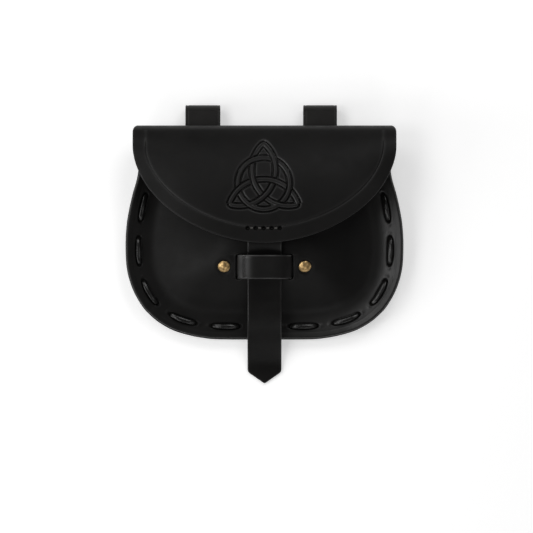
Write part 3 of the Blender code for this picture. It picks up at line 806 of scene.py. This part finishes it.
def softenedBelly():
    # the same over a grid, with that fold smoothed out
    step, reach = front["softGrid"], front["softReach"]
    margin = 3 * reach
    xs = np.arange(-bag["halfWidth"] - margin, bag["halfWidth"] + margin, step)
    ys = np.arange(footY - margin, mouthY + margin, step)
    x, y = np.meshgrid(xs, ys)
    heights = firmBelly(x.ravel(), np.minimum(y.ravel(), mouthY * front["softTop"]))[0].reshape(x.shape)
    steps = np.arange(-int(margin / step), int(margin / step) + 1)
    weights = bell(steps * step, reach * math.sqrt(2))
    weights /= weights.sum()

    def soften(row):
        return np.convolve(np.pad(row, len(steps) // 2, mode="edge"), weights, mode="valid")

    heights = np.apply_along_axis(soften, 0, np.apply_along_axis(soften, 1, heights))
    return xs, ys, heights


def onGrid(grid, x, y):
    # 1.001 keeps the last point inside the last cell
    xs, ys, heights = grid
    u = np.clip((x - xs[0]) / (xs[1] - xs[0]), 0, len(xs) - 1.001)
    v = np.clip((y - ys[0]) / (ys[1] - ys[0]), 0, len(ys) - 1.001)
    i, j = u.astype(int), v.astype(int)
    u, v = u - i, v - j
    return ((heights[j, i] * (1 - u) + heights[j, i + 1] * u) * (1 - v)
            + (heights[j + 1, i] * (1 - u) + heights[j + 1, i + 1] * u) * v)


softBelly = softenedBelly()


def frontHeight(x, y):
    firm, away, normals = firmBelly(x, y)
    share = smoothStep((away - front["softFrom"]) / front["softOver"])
    flare = rimFlare(away, normals[:, 0], y)
    return flangeTop + firm * (1 - share) + onGrid(softBelly, x, y) * share + flare


def frontNormal(x, y):
    return normalOf(frontHeight, x, y, front["slopeStep"])


def placeFront(x, y, lift):
    return np.column_stack([x, y, frontHeight(x, y)]) + frontNormal(x, y) * lift[:, None]


# The lace: a flat strip in a running stitch
lace = {
    "width": 0.0037, "endShare": 0.54, "thickness": 0.0013, "crown": 0.0008,
    "inset": 0.0084, "pitch": 0.0315, "first": 0.0280, "stitch": 0.0200, "eachSide": 6,
    # the holes' middles, as shares of half a stitch
    "frontHole": 0.93, "backHole": 1.10, "frontLength": 0.0019, "backLength": 0.0014,
    "frontPlay": 0.0002, "backPlay": -0.0003,
    # how the lace dives: share of half a stitch, share of the height between the two faces
    "dive": ((1.30, 0), (1.18, .01), (1.10, .15), (1.01, .50), (.93, .82), (.83, .97)),
    "dentDepth": 0.0009, "dentWidth": 0.0008, "rim": 0.00004, "rimAt": 0.0016, "rimWidth": 0.0009,
    "pucker": 0.00028, "puckerAt": 1.27, "puckerWidth": 0.0013,
    "bulge": 0.0009, "bulgeAt": .5, "bulgeShare": .72, "seat": 0.0003, "rowStep": 0.0005, "sides": 16,
    "wideShape": 0.75, "thickShape": 0.85, "tabAt": 1.08, "tabOver": 0.25,
    "holeStep": 0.0004, "holeRound": .8, "samples": 61, "dentField": 0.009,
}


def laceLine():
    points = edgePoints - edgeNormals * lace["inset"]
    lengths = lengthsOf(points)
    return points, lengths - lengths[int(np.argmin(np.abs(points[:, 0])))]


lacePoints, laceLengths = laceLine()


def onLace(length):
    point = [float(np.interp(length, laceLengths, lacePoints[:, axis])) for axis in (0, 1)]
    across = [float(np.interp(length, laceLengths, edgeNormals[:, axis])) for axis in (0, 1)]
    across = np.array(across) / math.hypot(*across)
    return np.array(point), across


def stitchMiddles():
    out = [lace["first"] + lace["pitch"] * i for i in range(lace["eachSide"])]
    return [-length for length in reversed(out)] + [0.0] + out


def besideStitches(share):
    # on both sides of each stitch's middle, at a share of half a stitch
    return [onLace(middle + side * share * lace["stitch"] / 2)
            for middle in stitchMiddles() for side in (-1, 1)]


def laceHoles(face):
    # slots at both ends of each stitch, each run clockwise; the back's are further out and tighter
    holes = []
    along, wide = lace[face + "Length"] / 2, lace["width"] * lace["endShare"] / 2 + lace[face + "Play"]
    for point, across in besideStitches(lace[face + "Hole"]):
        way = np.array([-across[1], across[0]])
        corners = [point + across * a * wide + way * b * along
                   for a, b in ((-1, -1), (-1, 1), (1, 1), (1, -1))]
        loop = closedLoop(corners, lace["holeStep"], [along * lace["holeRound"]])
        area = np.sum(loop[:, 0] * np.roll(loop[:, 1], -1) - np.roll(loop[:, 0], -1) * loop[:, 1])
        holes.append(loop[::-1] if area > 0 else loop)
    return holes


def stitchSamples():
    # points along every stitch, each with its share of the way from the stitch's middle to its end
    shares = np.linspace(-1, 1, lace["samples"])
    points = [onLace(middle + share * lace["stitch"] / 2)[0]
              for middle in stitchMiddles() for share in shares]
    return np.array(points), np.tile(np.abs(shares), len(stitchMiddles()))


stitchPoints, stitchShares = stitchSamples()


def laceHalfWidth(share):
    # the lace is widest at a stitch's middle and gathers towards its holes
    on = np.sqrt(np.clip(1 - share ** 2, 0, 1)) + smoothStep((share - lace["tabAt"]) / lace["tabOver"])
    return lace["width"] / 2 * (lace["endShare"] + (1 - lace["endShare"]) * on)


def stitchRelief(x, y):
    # each stitch lies in a dent of its own shape, with a soft rim, and puckers the leather past its ends
    lift = np.zeros(len(x))
    near = np.flatnonzero(nearest(lacePoints, x, y) < lace["dentField"])
    index, away = nearestPoint(stitchPoints, x[near], y[near])
    gap = away - laceHalfWidth(stitchShares[index])
    lift[near] -= lace["dentDepth"] * (1 - smoothStep(gap / lace["dentWidth"]))
    lift[near] += lace["rim"] * bell(gap - lace["rimAt"], lace["rimWidth"])
    for point, _ in besideStitches(lace["puckerAt"]):
        away = np.hypot(x[near] - point[0], y[near] - point[1])
        lift[near] += lace["pucker"] * bell(away, lace["puckerWidth"])
    return lift


# The keeper: a band that holds the strap, through two slits of the front, with a rivet beyond each slit
keeper = {
    "leather": 0.0020, "height": 0.0174, "width": 0.0392, "belowWidest": 0.0141, "tab": 0.0062,
    "turn": 0.00112, "rivetSpread": 0.0582, "edgeRound": 0.0007,
    "slitPlay": 0.0010, "slitEndPlay": 0.0003, "slitStep": 0.0006, "slitRound": 0.0015,
    "arch": 0.0022, "archAt": (0, .3, .6, .85), "bend": ((0, 1), (.3, .80), (.6, .52), (.86, .20), (1, 0)),
    "step": 0.0006, "innerStep": 0.0016, "lineStep": 0.0003, "outlineStep": 0.0006, "corner": 0.003,
    "spare": 0.0002, "rubbedEdge": 0.6, "creaseIn": 0.0014, "creaseWidth": 0.0003, "creaseDepth": 0.00010,
    "rubbed": -0.0140, "rubbedWidth": 0.0034,
    # the front's leather rises at the slits' ends and sinks beside them
    "pucker": 0.0005, "puckerOut": 0.004, "puckerAlong": 0.0035, "puckerShare": 0.6,
    "sinkAt": 0.003, "sinkWidth": 0.0022,
    # where the front has a finer grid for it
    "fieldIn": 0.0125, "fieldOut": 0.0375, "fieldHalf": 0.0155,
}
keeperY = -keeper["belowWidest"]
slitX = keeper["width"] / 2 - keeper["leather"] / 2


def keeperSlits():
    half = keeper["leather"] / 2 + keeper["slitPlay"]
    tall = keeper["height"] / 2 + keeper["slitEndPlay"]
    loops = []
    for side in (-1, 1):
        x = side * slitX
        corners = [(x - half, keeperY - tall), (x - half, keeperY + tall),
                   (x + half, keeperY + tall), (x + half, keeperY - tall)]
        loops.append(closedLoop(corners, keeper["slitStep"], [keeper["slitRound"]]))
    return loops


rivet = {
    "cap": 0.0087, "capHeight": 0.0018, "skirt": 0.0007, "sunk": 0.0001,
    "dimple": 0.0007, "dimpleIn": 0.0004, "dimpleWidth": 0.0024,
    "rim": 0.00016, "rimAt": 1.2, "rimWidth": 0.0011, "segments": 56, "sharpAngle": 40,
}


def frontRelief(x, y):
    lift = stitchRelief(x, y) + pressedLine(nearestOnEdge(x, y)[0], front)
    for side in (-1, 1):
        out = np.hypot(x - side * keeper["rivetSpread"] / 2, y - keeperY)
        past = out - rivet["cap"] / 2
        lift -= rivet["dimple"] * (1 - smoothStep((past + rivet["dimpleIn"]) / rivet["dimpleWidth"]))
        lift += rivet["rim"] * bell(past - rivet["dimpleWidth"] * rivet["rimAt"], rivet["rimWidth"])
        sideOut = np.abs(x - side * slitX)
        ends = np.abs(np.abs(y - keeperY) - keeper["height"] / 2)
        lift += (keeper["pucker"] * bell(sideOut, keeper["puckerOut"]) * bell(ends, keeper["puckerAlong"])
                 * keeper["puckerShare"])
        beside = np.abs(y - keeperY) < keeper["height"] / 2
        lift -= keeper["pucker"] * bell(sideOut - keeper["sinkAt"], keeper["sinkWidth"]) * beside
    return lift


def frontBurnish(x, y):
    # the laced rim is polished where the hand goes, on the right
    edge = nearestOnEdge(x, y)[0]
    rim = 1 - smoothStep((edge - front["flange"] / 2) / front["flange"])
    return front["burnish"] * rim * smoothStep(x / front["burnishTurn"])


def buildFront():
    loop = evenly(np.vstack([edgePoints, [(0, mouthY)], edgePoints[:1]]), front["outlineStep"])[:-1]
    # both corners of the mouth are rounded off
    reach = front["cornerPoints"]
    for corner in (edgePoints[0], edgePoints[-1]):
        k = int(np.argmin(np.linalg.norm(loop - corner, axis=1)))
        a, b = loop[(k - reach) % len(loop)].copy(), loop[(k + reach) % len(loop)].copy()
        for j in range(-reach, reach + 1):
            t = (j + reach) / (2 * reach)
            loop[(k + j) % len(loop)] = (1 - t) ** 2 * a + 2 * t * (1 - t) * corner + t ** 2 * b
    holes = laceHoles("front") + keeperSlits()
    wide = bag["halfWidth"]
    low, high = (-wide, footY), (wide, mouthY)

    def nearStitches(x, y):
        return nearest(stitchPoints, x, y) <= front["dentReach"]

    def nearKeeper(x, y):
        across = np.abs(x)
        return ((across > keeper["fieldIn"]) & (across < keeper["fieldOut"])
                & (np.abs(y - keeperY) < keeper["fieldHalf"]))

    def onFlange(x, y):
        return nearestOnEdge(x, y)[0] <= front["flange"] + front["flangePast"]

    def plainFlange(x, y):
        return onFlange(x, y) & ~nearStitches(x, y)

    def plainBelly(x, y):
        return ~onFlange(x, y) & ~nearKeeper(x, y) & ~nearStitches(x, y)

    belly = gridPoints(low, high, front["bellyStep"], plainBelly)
    flange = gridPoints(low, high, front["flangeStep"], plainFlange)
    dents = gridPoints(low, high, front["dentStep"], nearStitches)
    middle = gridPoints((-keeper["fieldOut"], keeperY - keeper["fieldHalf"]),
                        (keeper["fieldOut"], keeperY + keeper["fieldHalf"]), front["keeperStep"], nearKeeper)
    innerGrid = gridPoints(low, high, front["innerStep"])
    return leatherSheet("front_panel_leather", [loop] + holes, np.vstack([belly, flange, dents, middle]),
                        innerGrid, placeFront, frontRelief, front, bodyLeather, frontBurnish)


def buildLace():
    half = lace["thickness"] / 2
    frontZ = flangeTop + lace["seat"] + half
    backZ = -bag["gap"] - half
    reach = lace["stitch"] / 2
    path = []
    for middle in stitchMiddles():
        dive = [(share * reach, backZ + rise * (frontZ - backZ)) for share, rise in lace["dive"]]
        path += [(middle - along, height) for along, height in dive]
        path += [(middle + reach * lace["bulgeAt"] * side, frontZ + lace["bulge"] * share)
                 for side, share in ((-1, lace["bulgeShare"]), (0, 1), (1, lace["bulgeShare"]))]
        path += [(middle + along, height) for along, height in reversed(dive)]
    line = evenly(throughPoints(path, 10), lace["rowStep"])
    line[:, 1] = np.maximum(line[:, 1], backZ)
    along = wayAlong(line)
    angles = np.linspace(0, 2 * math.pi, lace["sides"], endpoint=False)
    wide = np.sign(np.cos(angles)) * np.abs(np.cos(angles)) ** lace["wideShape"]
    thick = np.sign(np.sin(angles)) * np.abs(np.sin(angles)) ** lace["thickShape"]
    middles = np.array(stitchMiddles())
    points = []
    for (length, height), (dl, dh) in zip(line, along):
        point, across = onLace(length)
        way = np.array([-across[1], across[0]])
        share = np.array([np.min(np.abs(middles - length)) / reach])
        halfWidth = float(laceHalfWidth(share)[0])
        crown = half + lace["crown"] * float(np.clip(1 - share[0] ** 2, 0, 1)) * (height > frontZ - half)
        lean = rimFlare(lace["inset"] - wide * halfWidth, across[0], point[1])
        for w, t, flared in zip(wide, thick, lean):
            rise = t * (crown if t > 0 else half)
            flat = point + across * w * halfWidth - way * dh * rise
            points.append((flat[0], flat[1], height + dl * rise + flared))
    return newPiece("lace", np.array(points), tubeFaces(len(line), lace["sides"]), laceLeather)


# Bands of strap leather, each swept along a line of (y, z) or (x, lift)

band = {
    "lineStep": 0.0005, "innerStep": 0.003, "spare": 0.00015, "rubbedEdge": 0.6, "edgeStep": 0.0002,
    "creaseRows": (-.0005, -.00025, 0, .00025, .0005), "creaseClear": 0.0003,
}


def followLine(line):
    # place and direction at any length along a line
    lengths, along = lengthsOf(line), wayAlong(line)

    def at(s):
        point = np.column_stack([np.interp(s, lengths, line[:, axis]) for axis in (0, 1)])
        return point, unit(np.column_stack([np.interp(s, lengths, along[:, axis]) for axis in (0, 1)]))
    return at, lengths[-1]


def edgeRelief(loop, look):
    edge = evenly(np.vstack([loop, loop[:1]]), band["edgeStep"])

    def relief(u, v):
        return pressedLine(nearest(edge, u, v), look)
    return relief


def creasedGrid(loop, low, high, look):
    # an even grid with rows of points along the crease
    rows = [loop + inwardOf(loop) * (look["creaseIn"] + offset) for offset in band["creaseRows"]]
    points = gridPoints(low, high, look["step"])
    clear = nearest(np.vstack(rows), *points.T) > band["creaseClear"]
    return np.vstack([points[clear]] + rows)


def buildBand(name, loop, points, low, high, place, look, finish, burnish=None):
    return leatherSheet(name, [loop], points, gridPoints(low, high, look["innerStep"]), place,
                        edgeRelief(loop, look), look, finish, burnish)


strap = {
    **band,
    "leather": 0.0025, "halfWidth": 0.01225, "point": 0.0086, "edgeRound": 0.0009, "step": 0.0008,
    "creaseIn": 0.0016, "creaseWidth": 0.00035, "creaseDepth": 0.00007,
    "floorPlay": 0.0001, "outlineStep": 0.0005, "corners": (0.0015, 0.0022, 0.0010, 0.0022, 0.0015),
    "samples": (0.0222, 0.0125, 0.0032, -0.0040, -0.0141, -0.0228, -0.0400, -0.0560, -0.0700,
                -0.0820, -0.0900, -0.0978),
    "leaves": 0.0120,         # where it leaves the flap, and how far below the keeper it settles
    "settle": 0.0400, "above": 0.2,
    "tipReach": 0.0006,       # how much further the leather's point goes than the last height
}


def strapLine():
    # the outer face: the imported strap's height at a few places, but lying on this softer belly
    tree = treeOf("closure_strap")
    up = (bagPlace.to_3x3() @ Vector((0, 0, 1))).normalized()

    def packed(y):
        hit = tree.ray_cast(bagPlace @ Vector((0, y, strap["above"])), -up)[0]
        return (bagPlace.inverted() @ hit).z + strap["floorPlay"]

    def lying(y):
        return float(frontHeight(np.zeros(1), np.array([y]))[0]) + bag["gap"] + strap["leather"]

    keeperTop, keeperFoot = keeperY + keeper["height"] / 2, keeperY - keeper["height"] / 2
    drop = packed(keeperFoot) - lying(keeperFoot)
    line = []
    for y in strap["samples"]:
        if y > keeperFoot:
            share = float(smoothStep((strap["leaves"] - y) / (strap["leaves"] - keeperTop)))
            line.append((y, packed(y) + (lying(y) - packed(y)) * share))
        else:
            line.append((y, packed(y) - drop * float(1 - smoothStep((keeperFoot - y) / strap["settle"]))))
    (y1, z1), (y2, z2) = line[-2:]
    share = strap["tipReach"] / (y1 - y2)
    line.append((y2 - strap["tipReach"], z2 + (z2 - z1) * share))
    return evenly(throughPoints(line, 16), band["lineStep"])


def buildStrap():
    at, length = followLine(strapLine())
    half, shoulder = strap["halfWidth"], length - strap["point"]

    def place(u, v, lift):
        # the line is the outer face; where it is steep the leather comes out thinner
        spot, way = at(v)
        return np.column_stack([u, spot[:, 0] - way[:, 1] * lift, spot[:, 1] - way[:, 0] * lift])

    corners = [(-half, 0), (-half, shoulder), (0, length), (half, shoulder), (half, 0)]
    loop = closedLoop(corners, strap["outlineStep"], strap["corners"])[::-1]
    low, high = (-half, 0), (half, length)
    points = creasedGrid(loop, low, high, strap)
    return buildBand("closing_strap", loop, points, low, high, place, strap, strapLeather)


def buildKeeper():
    inside = -(bag["leather"] + bag["gap"] + keeper["leather"] / 2)
    over = 2 * bag["gap"] + strap["leather"] + keeper["leather"] / 2
    strapEdge = strap["halfWidth"]
    path = [(strapEdge * share, over + keeper["arch"] * (1 - share ** 2)) for share in keeper["archAt"]]
    path += [(strapEdge + share * (slitX - strapEdge), rise * over) for share, rise in keeper["bend"]]
    path += [(slitX, inside + keeper["turn"]), (slitX + keeper["turn"], inside),
             ((slitX + keeper["rivetSpread"] / 2) / 2, inside),
             (keeper["rivetSpread"] / 2 + keeper["tab"], inside)]
    right = throughPoints(path, 10)
    line = evenly(np.vstack([right[:0:-1] * (-1, 1), right]), keeper["lineStep"])
    at, length = followLine(line)
    tall = keeper["height"] / 2

    def place(u, v, lift):
        spot, way = at(u)
        # lift is measured from the outer face, the line is the band's middle
        lift = lift + keeper["leather"] / 2
        x = spot[:, 0] - way[:, 1] * lift
        rise = spot[:, 1] + way[:, 0] * lift
        y = keeperY + v
        row = np.full(len(x), keeperY)
        slope = frontHeight(x, row + tall) - frontHeight(x, row - tall)
        straight = frontHeight(x, row) + v * slope / (2 * tall)
        share = smoothStep(rise / over)
        height = share * straight + (1 - share) * frontHeight(x, y)
        return np.column_stack([x, y, height + rise])

    low, high = (0, -tall), (length, tall)
    loop = closedLoop(rectangle(low, high), keeper["outlineStep"], [keeper["corner"]])

    def burnish(u, v):
        # its left shoulder is rubbed
        return bell(at(u)[0][:, 0] - keeper["rubbed"], keeper["rubbedWidth"])

    points = gridPoints(low, high, keeper["step"])
    return buildBand("keeper_band", loop, points, low, high, place, keeper, keeperLeather, burnish)


loops = {
    **band,
    "leather": 0.0025, "halfWidth": {"left": 0.0126, "right": 0.0122}, "edgeRound": 0.0006, "step": 0.0009,
    "aboveFold": 0.0150, "rivetBelowFold": 0.0557, "end": 0.0080, "ramp": 0.0160, "floorPlay": 0.00045,
    "creaseIn": 0.0018, "creaseWidth": 0.00035, "creaseDepth": 0.00022, "turnSteps": 9,
    "outlineStep": 0.0008, "corner": 0.002,
}


def floorHeight(y):
    # the floor as the bag's frame sees it
    tilt = bagPlace.to_euler().x
    return (-bagPlace.translation.z - y * math.sin(tilt)) / math.cos(tilt)


def beltLoopLine():
    half = loops["leather"] / 2
    inner = -bag["gap"] - half
    rivetY = bag["widestToFold"] - loops["rivetBelowFold"]
    endY = rivetY - loops["end"]
    topY = bag["widestToFold"] + loops["aboveFold"] - half
    floorLift = half + loops["floorPlay"]
    radius = (inner - floorHeight(topY) - floorLift) / 2
    turnY = topY - radius
    line = [(endY, inner), (rivetY, inner), ((rivetY + turnY) / 2, inner)]
    for i in range(loops["turnSteps"] + 1):
        angle = math.pi * i / loops["turnSteps"]
        line.append((turnY + radius * math.sin(angle), inner - radius * (1 - math.cos(angle))))
    rampY = rivetY + loops["end"] + loops["ramp"]
    seat = inner - bag["gap"] - loops["leather"]
    line += [(y, floorHeight(y) + floorLift) for y in ((turnY + rampY) / 2, rampY)]
    line += [(rivetY + loops["end"], seat), (endY, seat)]
    return evenly(throughPoints(line, 12), band["lineStep"])


def buildBeltLoop(side):
    node = f"belt_loop_{side}"
    low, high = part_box(node)
    middle = (low.x + high.x) / 2
    at, length = followLine(beltLoopLine())
    half = loops["halfWidth"][side]

    def place(u, v, lift):
        # the line is the strap's middle; its outer face looks away from the belt
        spot, way = at(v)
        lift = lift + loops["leather"] / 2
        y = spot[:, 0] - way[:, 1] * lift
        z = spot[:, 1] + way[:, 0] * lift
        return np.column_stack([middle + u, y, z])

    low, high = (-half, 0), (half, length)
    loop = closedLoop(rectangle(low, high), loops["outlineStep"], [loops["corner"]])
    points = creasedGrid(loop, low, high, loops)
    # the loops take the lighter finish, which is painted light
    return buildBand(f"{node}_leather", loop, points, low, high, place, loops, loopPaintedLightLeather)


dressed(buildFlap(), "black_leather", "back_and_flap")
dressed(buildThread(), "black_lace")
dressed(buildFront(), "black_leather", "front_panel")
dressed(buildLace(), "black_lace", "lacing")
dressed(buildStrap(), "black_strap_leather", "closure_strap")
dressed(buildKeeper(), "black_strap_leather", "keeper_loop")
for side in ("left", "right"):
    dressed(buildBeltLoop(side), "black_strap_leather", f"belt_loop_{side}")
print("leather built")


# The keeper's rivets: a dome on a short skirt, seated in its dimple

def buildRivet(name, side):
    x = side * keeper["rivetSpread"] / 2
    spot = np.array([[x, keeperY]])
    seat = placeFront(*spot.T, np.array([-rivet["dimple"] - rivet["sunk"]]))[0]
    out = bagPlace.to_3x3() @ Vector(frontNormal(*spot.T)[0])
    half, rise, skirt = rivet["cap"] / 2, rivet["capHeight"], rivet["skirt"]
    ball = (half ** 2 + rise ** 2) / (2 * rise)
    centre = bagPlace @ Vector(seat)
    bpy.ops.object.select_all(action="DESELECT")
    bpy.ops.mesh.primitive_uv_sphere_add(
        segments=rivet["segments"], ring_count=rivet["segments"], radius=ball, location=centre,
        rotation=out.to_track_quat("Z", "Y").to_euler())
    cap = bpy.context.object
    cap.name = name
    bpy.ops.object.transform_apply(location=True, rotation=True, scale=True)
    cut = centre + out * (ball - rise)
    bpy.ops.object.mode_set(mode="EDIT")
    bpy.ops.mesh.select_all(action="SELECT")
    bpy.ops.mesh.bisect(plane_co=cut, plane_no=out, clear_inner=True, use_fill=True)
    bpy.ops.mesh.extrude_region_move(TRANSFORM_OT_translate={"value": -out * skirt})
    bpy.ops.mesh.select_all(action="SELECT")
    bpy.ops.transform.translate(value=out * (skirt - ball + rise))
    bpy.ops.mesh.normals_make_consistent(inside=False)
    bpy.ops.object.mode_set(mode="OBJECT")
    bpy.ops.object.shade_smooth_by_angle(angle=math.radians(rivet["sharpAngle"]))
    cap.data.materials.append(brass)
    return cap


for name, side in (("rivet_left", -1), ("rivet_right", 1)):
    dressed(buildRivet(f"{name}_cap", side), "antique_brass", name)
for side in ("left", "right"):
    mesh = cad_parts[f"loop_rivet_{side}"].data
    mesh.materials.clear()
    mesh.materials.append(brass)
print("rivets placed")


# Floor, light and camera

studio = {
    "floorSize": 60, "floorTone": (.86, .86, .86), "floorGlow": 0.43, "floorRough": 0.9,
    "world": 0.11, "away": 1.5,
    # softboxes: where each stands as the bag's frame sees it, its size and its power
    "softboxes": {
        "left_softbox": ((-.86, -.20, .42), 0.7, 4.8),
        "front_left_softbox": ((-.55, .08, .83), 0.6, 3.4),
        "top_left_softbox": ((-.45, .60, .60), 0.7, 3.8),
        "top_right_softbox": ((.28, .68, .67), 0.7, 4.6),
        "low_left_softbox": ((-.48, -.56, .68), 0.6, 2.8),
        "low_softbox": ((.18, -.80, .57), 0.7, 2.2),
        "right_softbox": ((.60, -.10, .79), 0.7, 1.2),
    },
}
white = (1, 1, 1, 1)


def buildFloor():
    bpy.ops.object.select_all(action="DESELECT")
    bpy.ops.mesh.primitive_plane_add(size=studio["floorSize"], location=(0, 0, cadBox[0].z))
    floor = bpy.context.object
    floor.name = "floor"
    material, tree, shader = nodeTree("pale_floor")
    feed(tree, shader, {
        "Base Color": (*studio["floorTone"], 1), "Roughness": studio["floorRough"], "Specular IOR Level": 0,
        "Emission Color": white, "Emission Strength": studio["floorGlow"]})
    floor.data.materials.append(material)


def buildWorld():
    # the camera sees white paper, the bag a dim room
    world = bpy.data.worlds.new("studio_room")
    bpy.context.scene.world = world
    world.use_nodes = True
    tree = world.node_tree
    room = tree.nodes["Background"]
    feed(tree, room, {"Color": white, "Strength": studio["world"]})
    paper = added(tree, "ShaderNodeBackground", {"Color": white})
    path = added(tree, "ShaderNodeLightPath")
    mix = added(tree, "ShaderNodeMixShader", {
        0: path.outputs["Is Camera Ray"], 1: room.outputs[0], 2: paper.outputs[0]})
    feed(tree, tree.nodes["World Output"], {"Surface": mix.outputs[0]})


def addSoftbox(name, direction, size, power):
    way = (bagPlace.to_3x3() @ Vector(direction)).normalized()
    light = bpy.data.lights.new(name, "AREA")
    light.shape = "SQUARE"
    light.size = size
    light.energy = power
    box = linked(name, light)
    box.location = bagPlace.translation + way * studio["away"]
    box.rotation_euler = way.to_track_quat("Z", "Y").to_euler()


# the photo's pixel in metres and its width in pixels, and the plane on which that holds
view = {"pixel": 0.00072, "frame": 533, "plane": .010, "lens": 500, "sensor": 36, "aim": (.00144, -.01384)}


def buildCamera():
    camera = bpy.data.cameras.new("camera")
    camera.lens = view["lens"]
    camera.sensor_width = view["sensor"]
    eye = linked("camera", camera)
    away = view["pixel"] * view["frame"] * view["lens"] / view["sensor"]
    eye.matrix_world = bagPlace @ Matrix.Translation((*view["aim"], view["plane"] + away))
    bpy.context.scene.camera = eye


buildFloor()
buildWorld()
for softbox, (direction, size, power) in studio["softboxes"].items():
    addSoftbox(softbox, direction, size, power)
buildCamera()
bpy.context.scene.view_settings.view_transform = "Standard"
print("floor, light and camera placed")
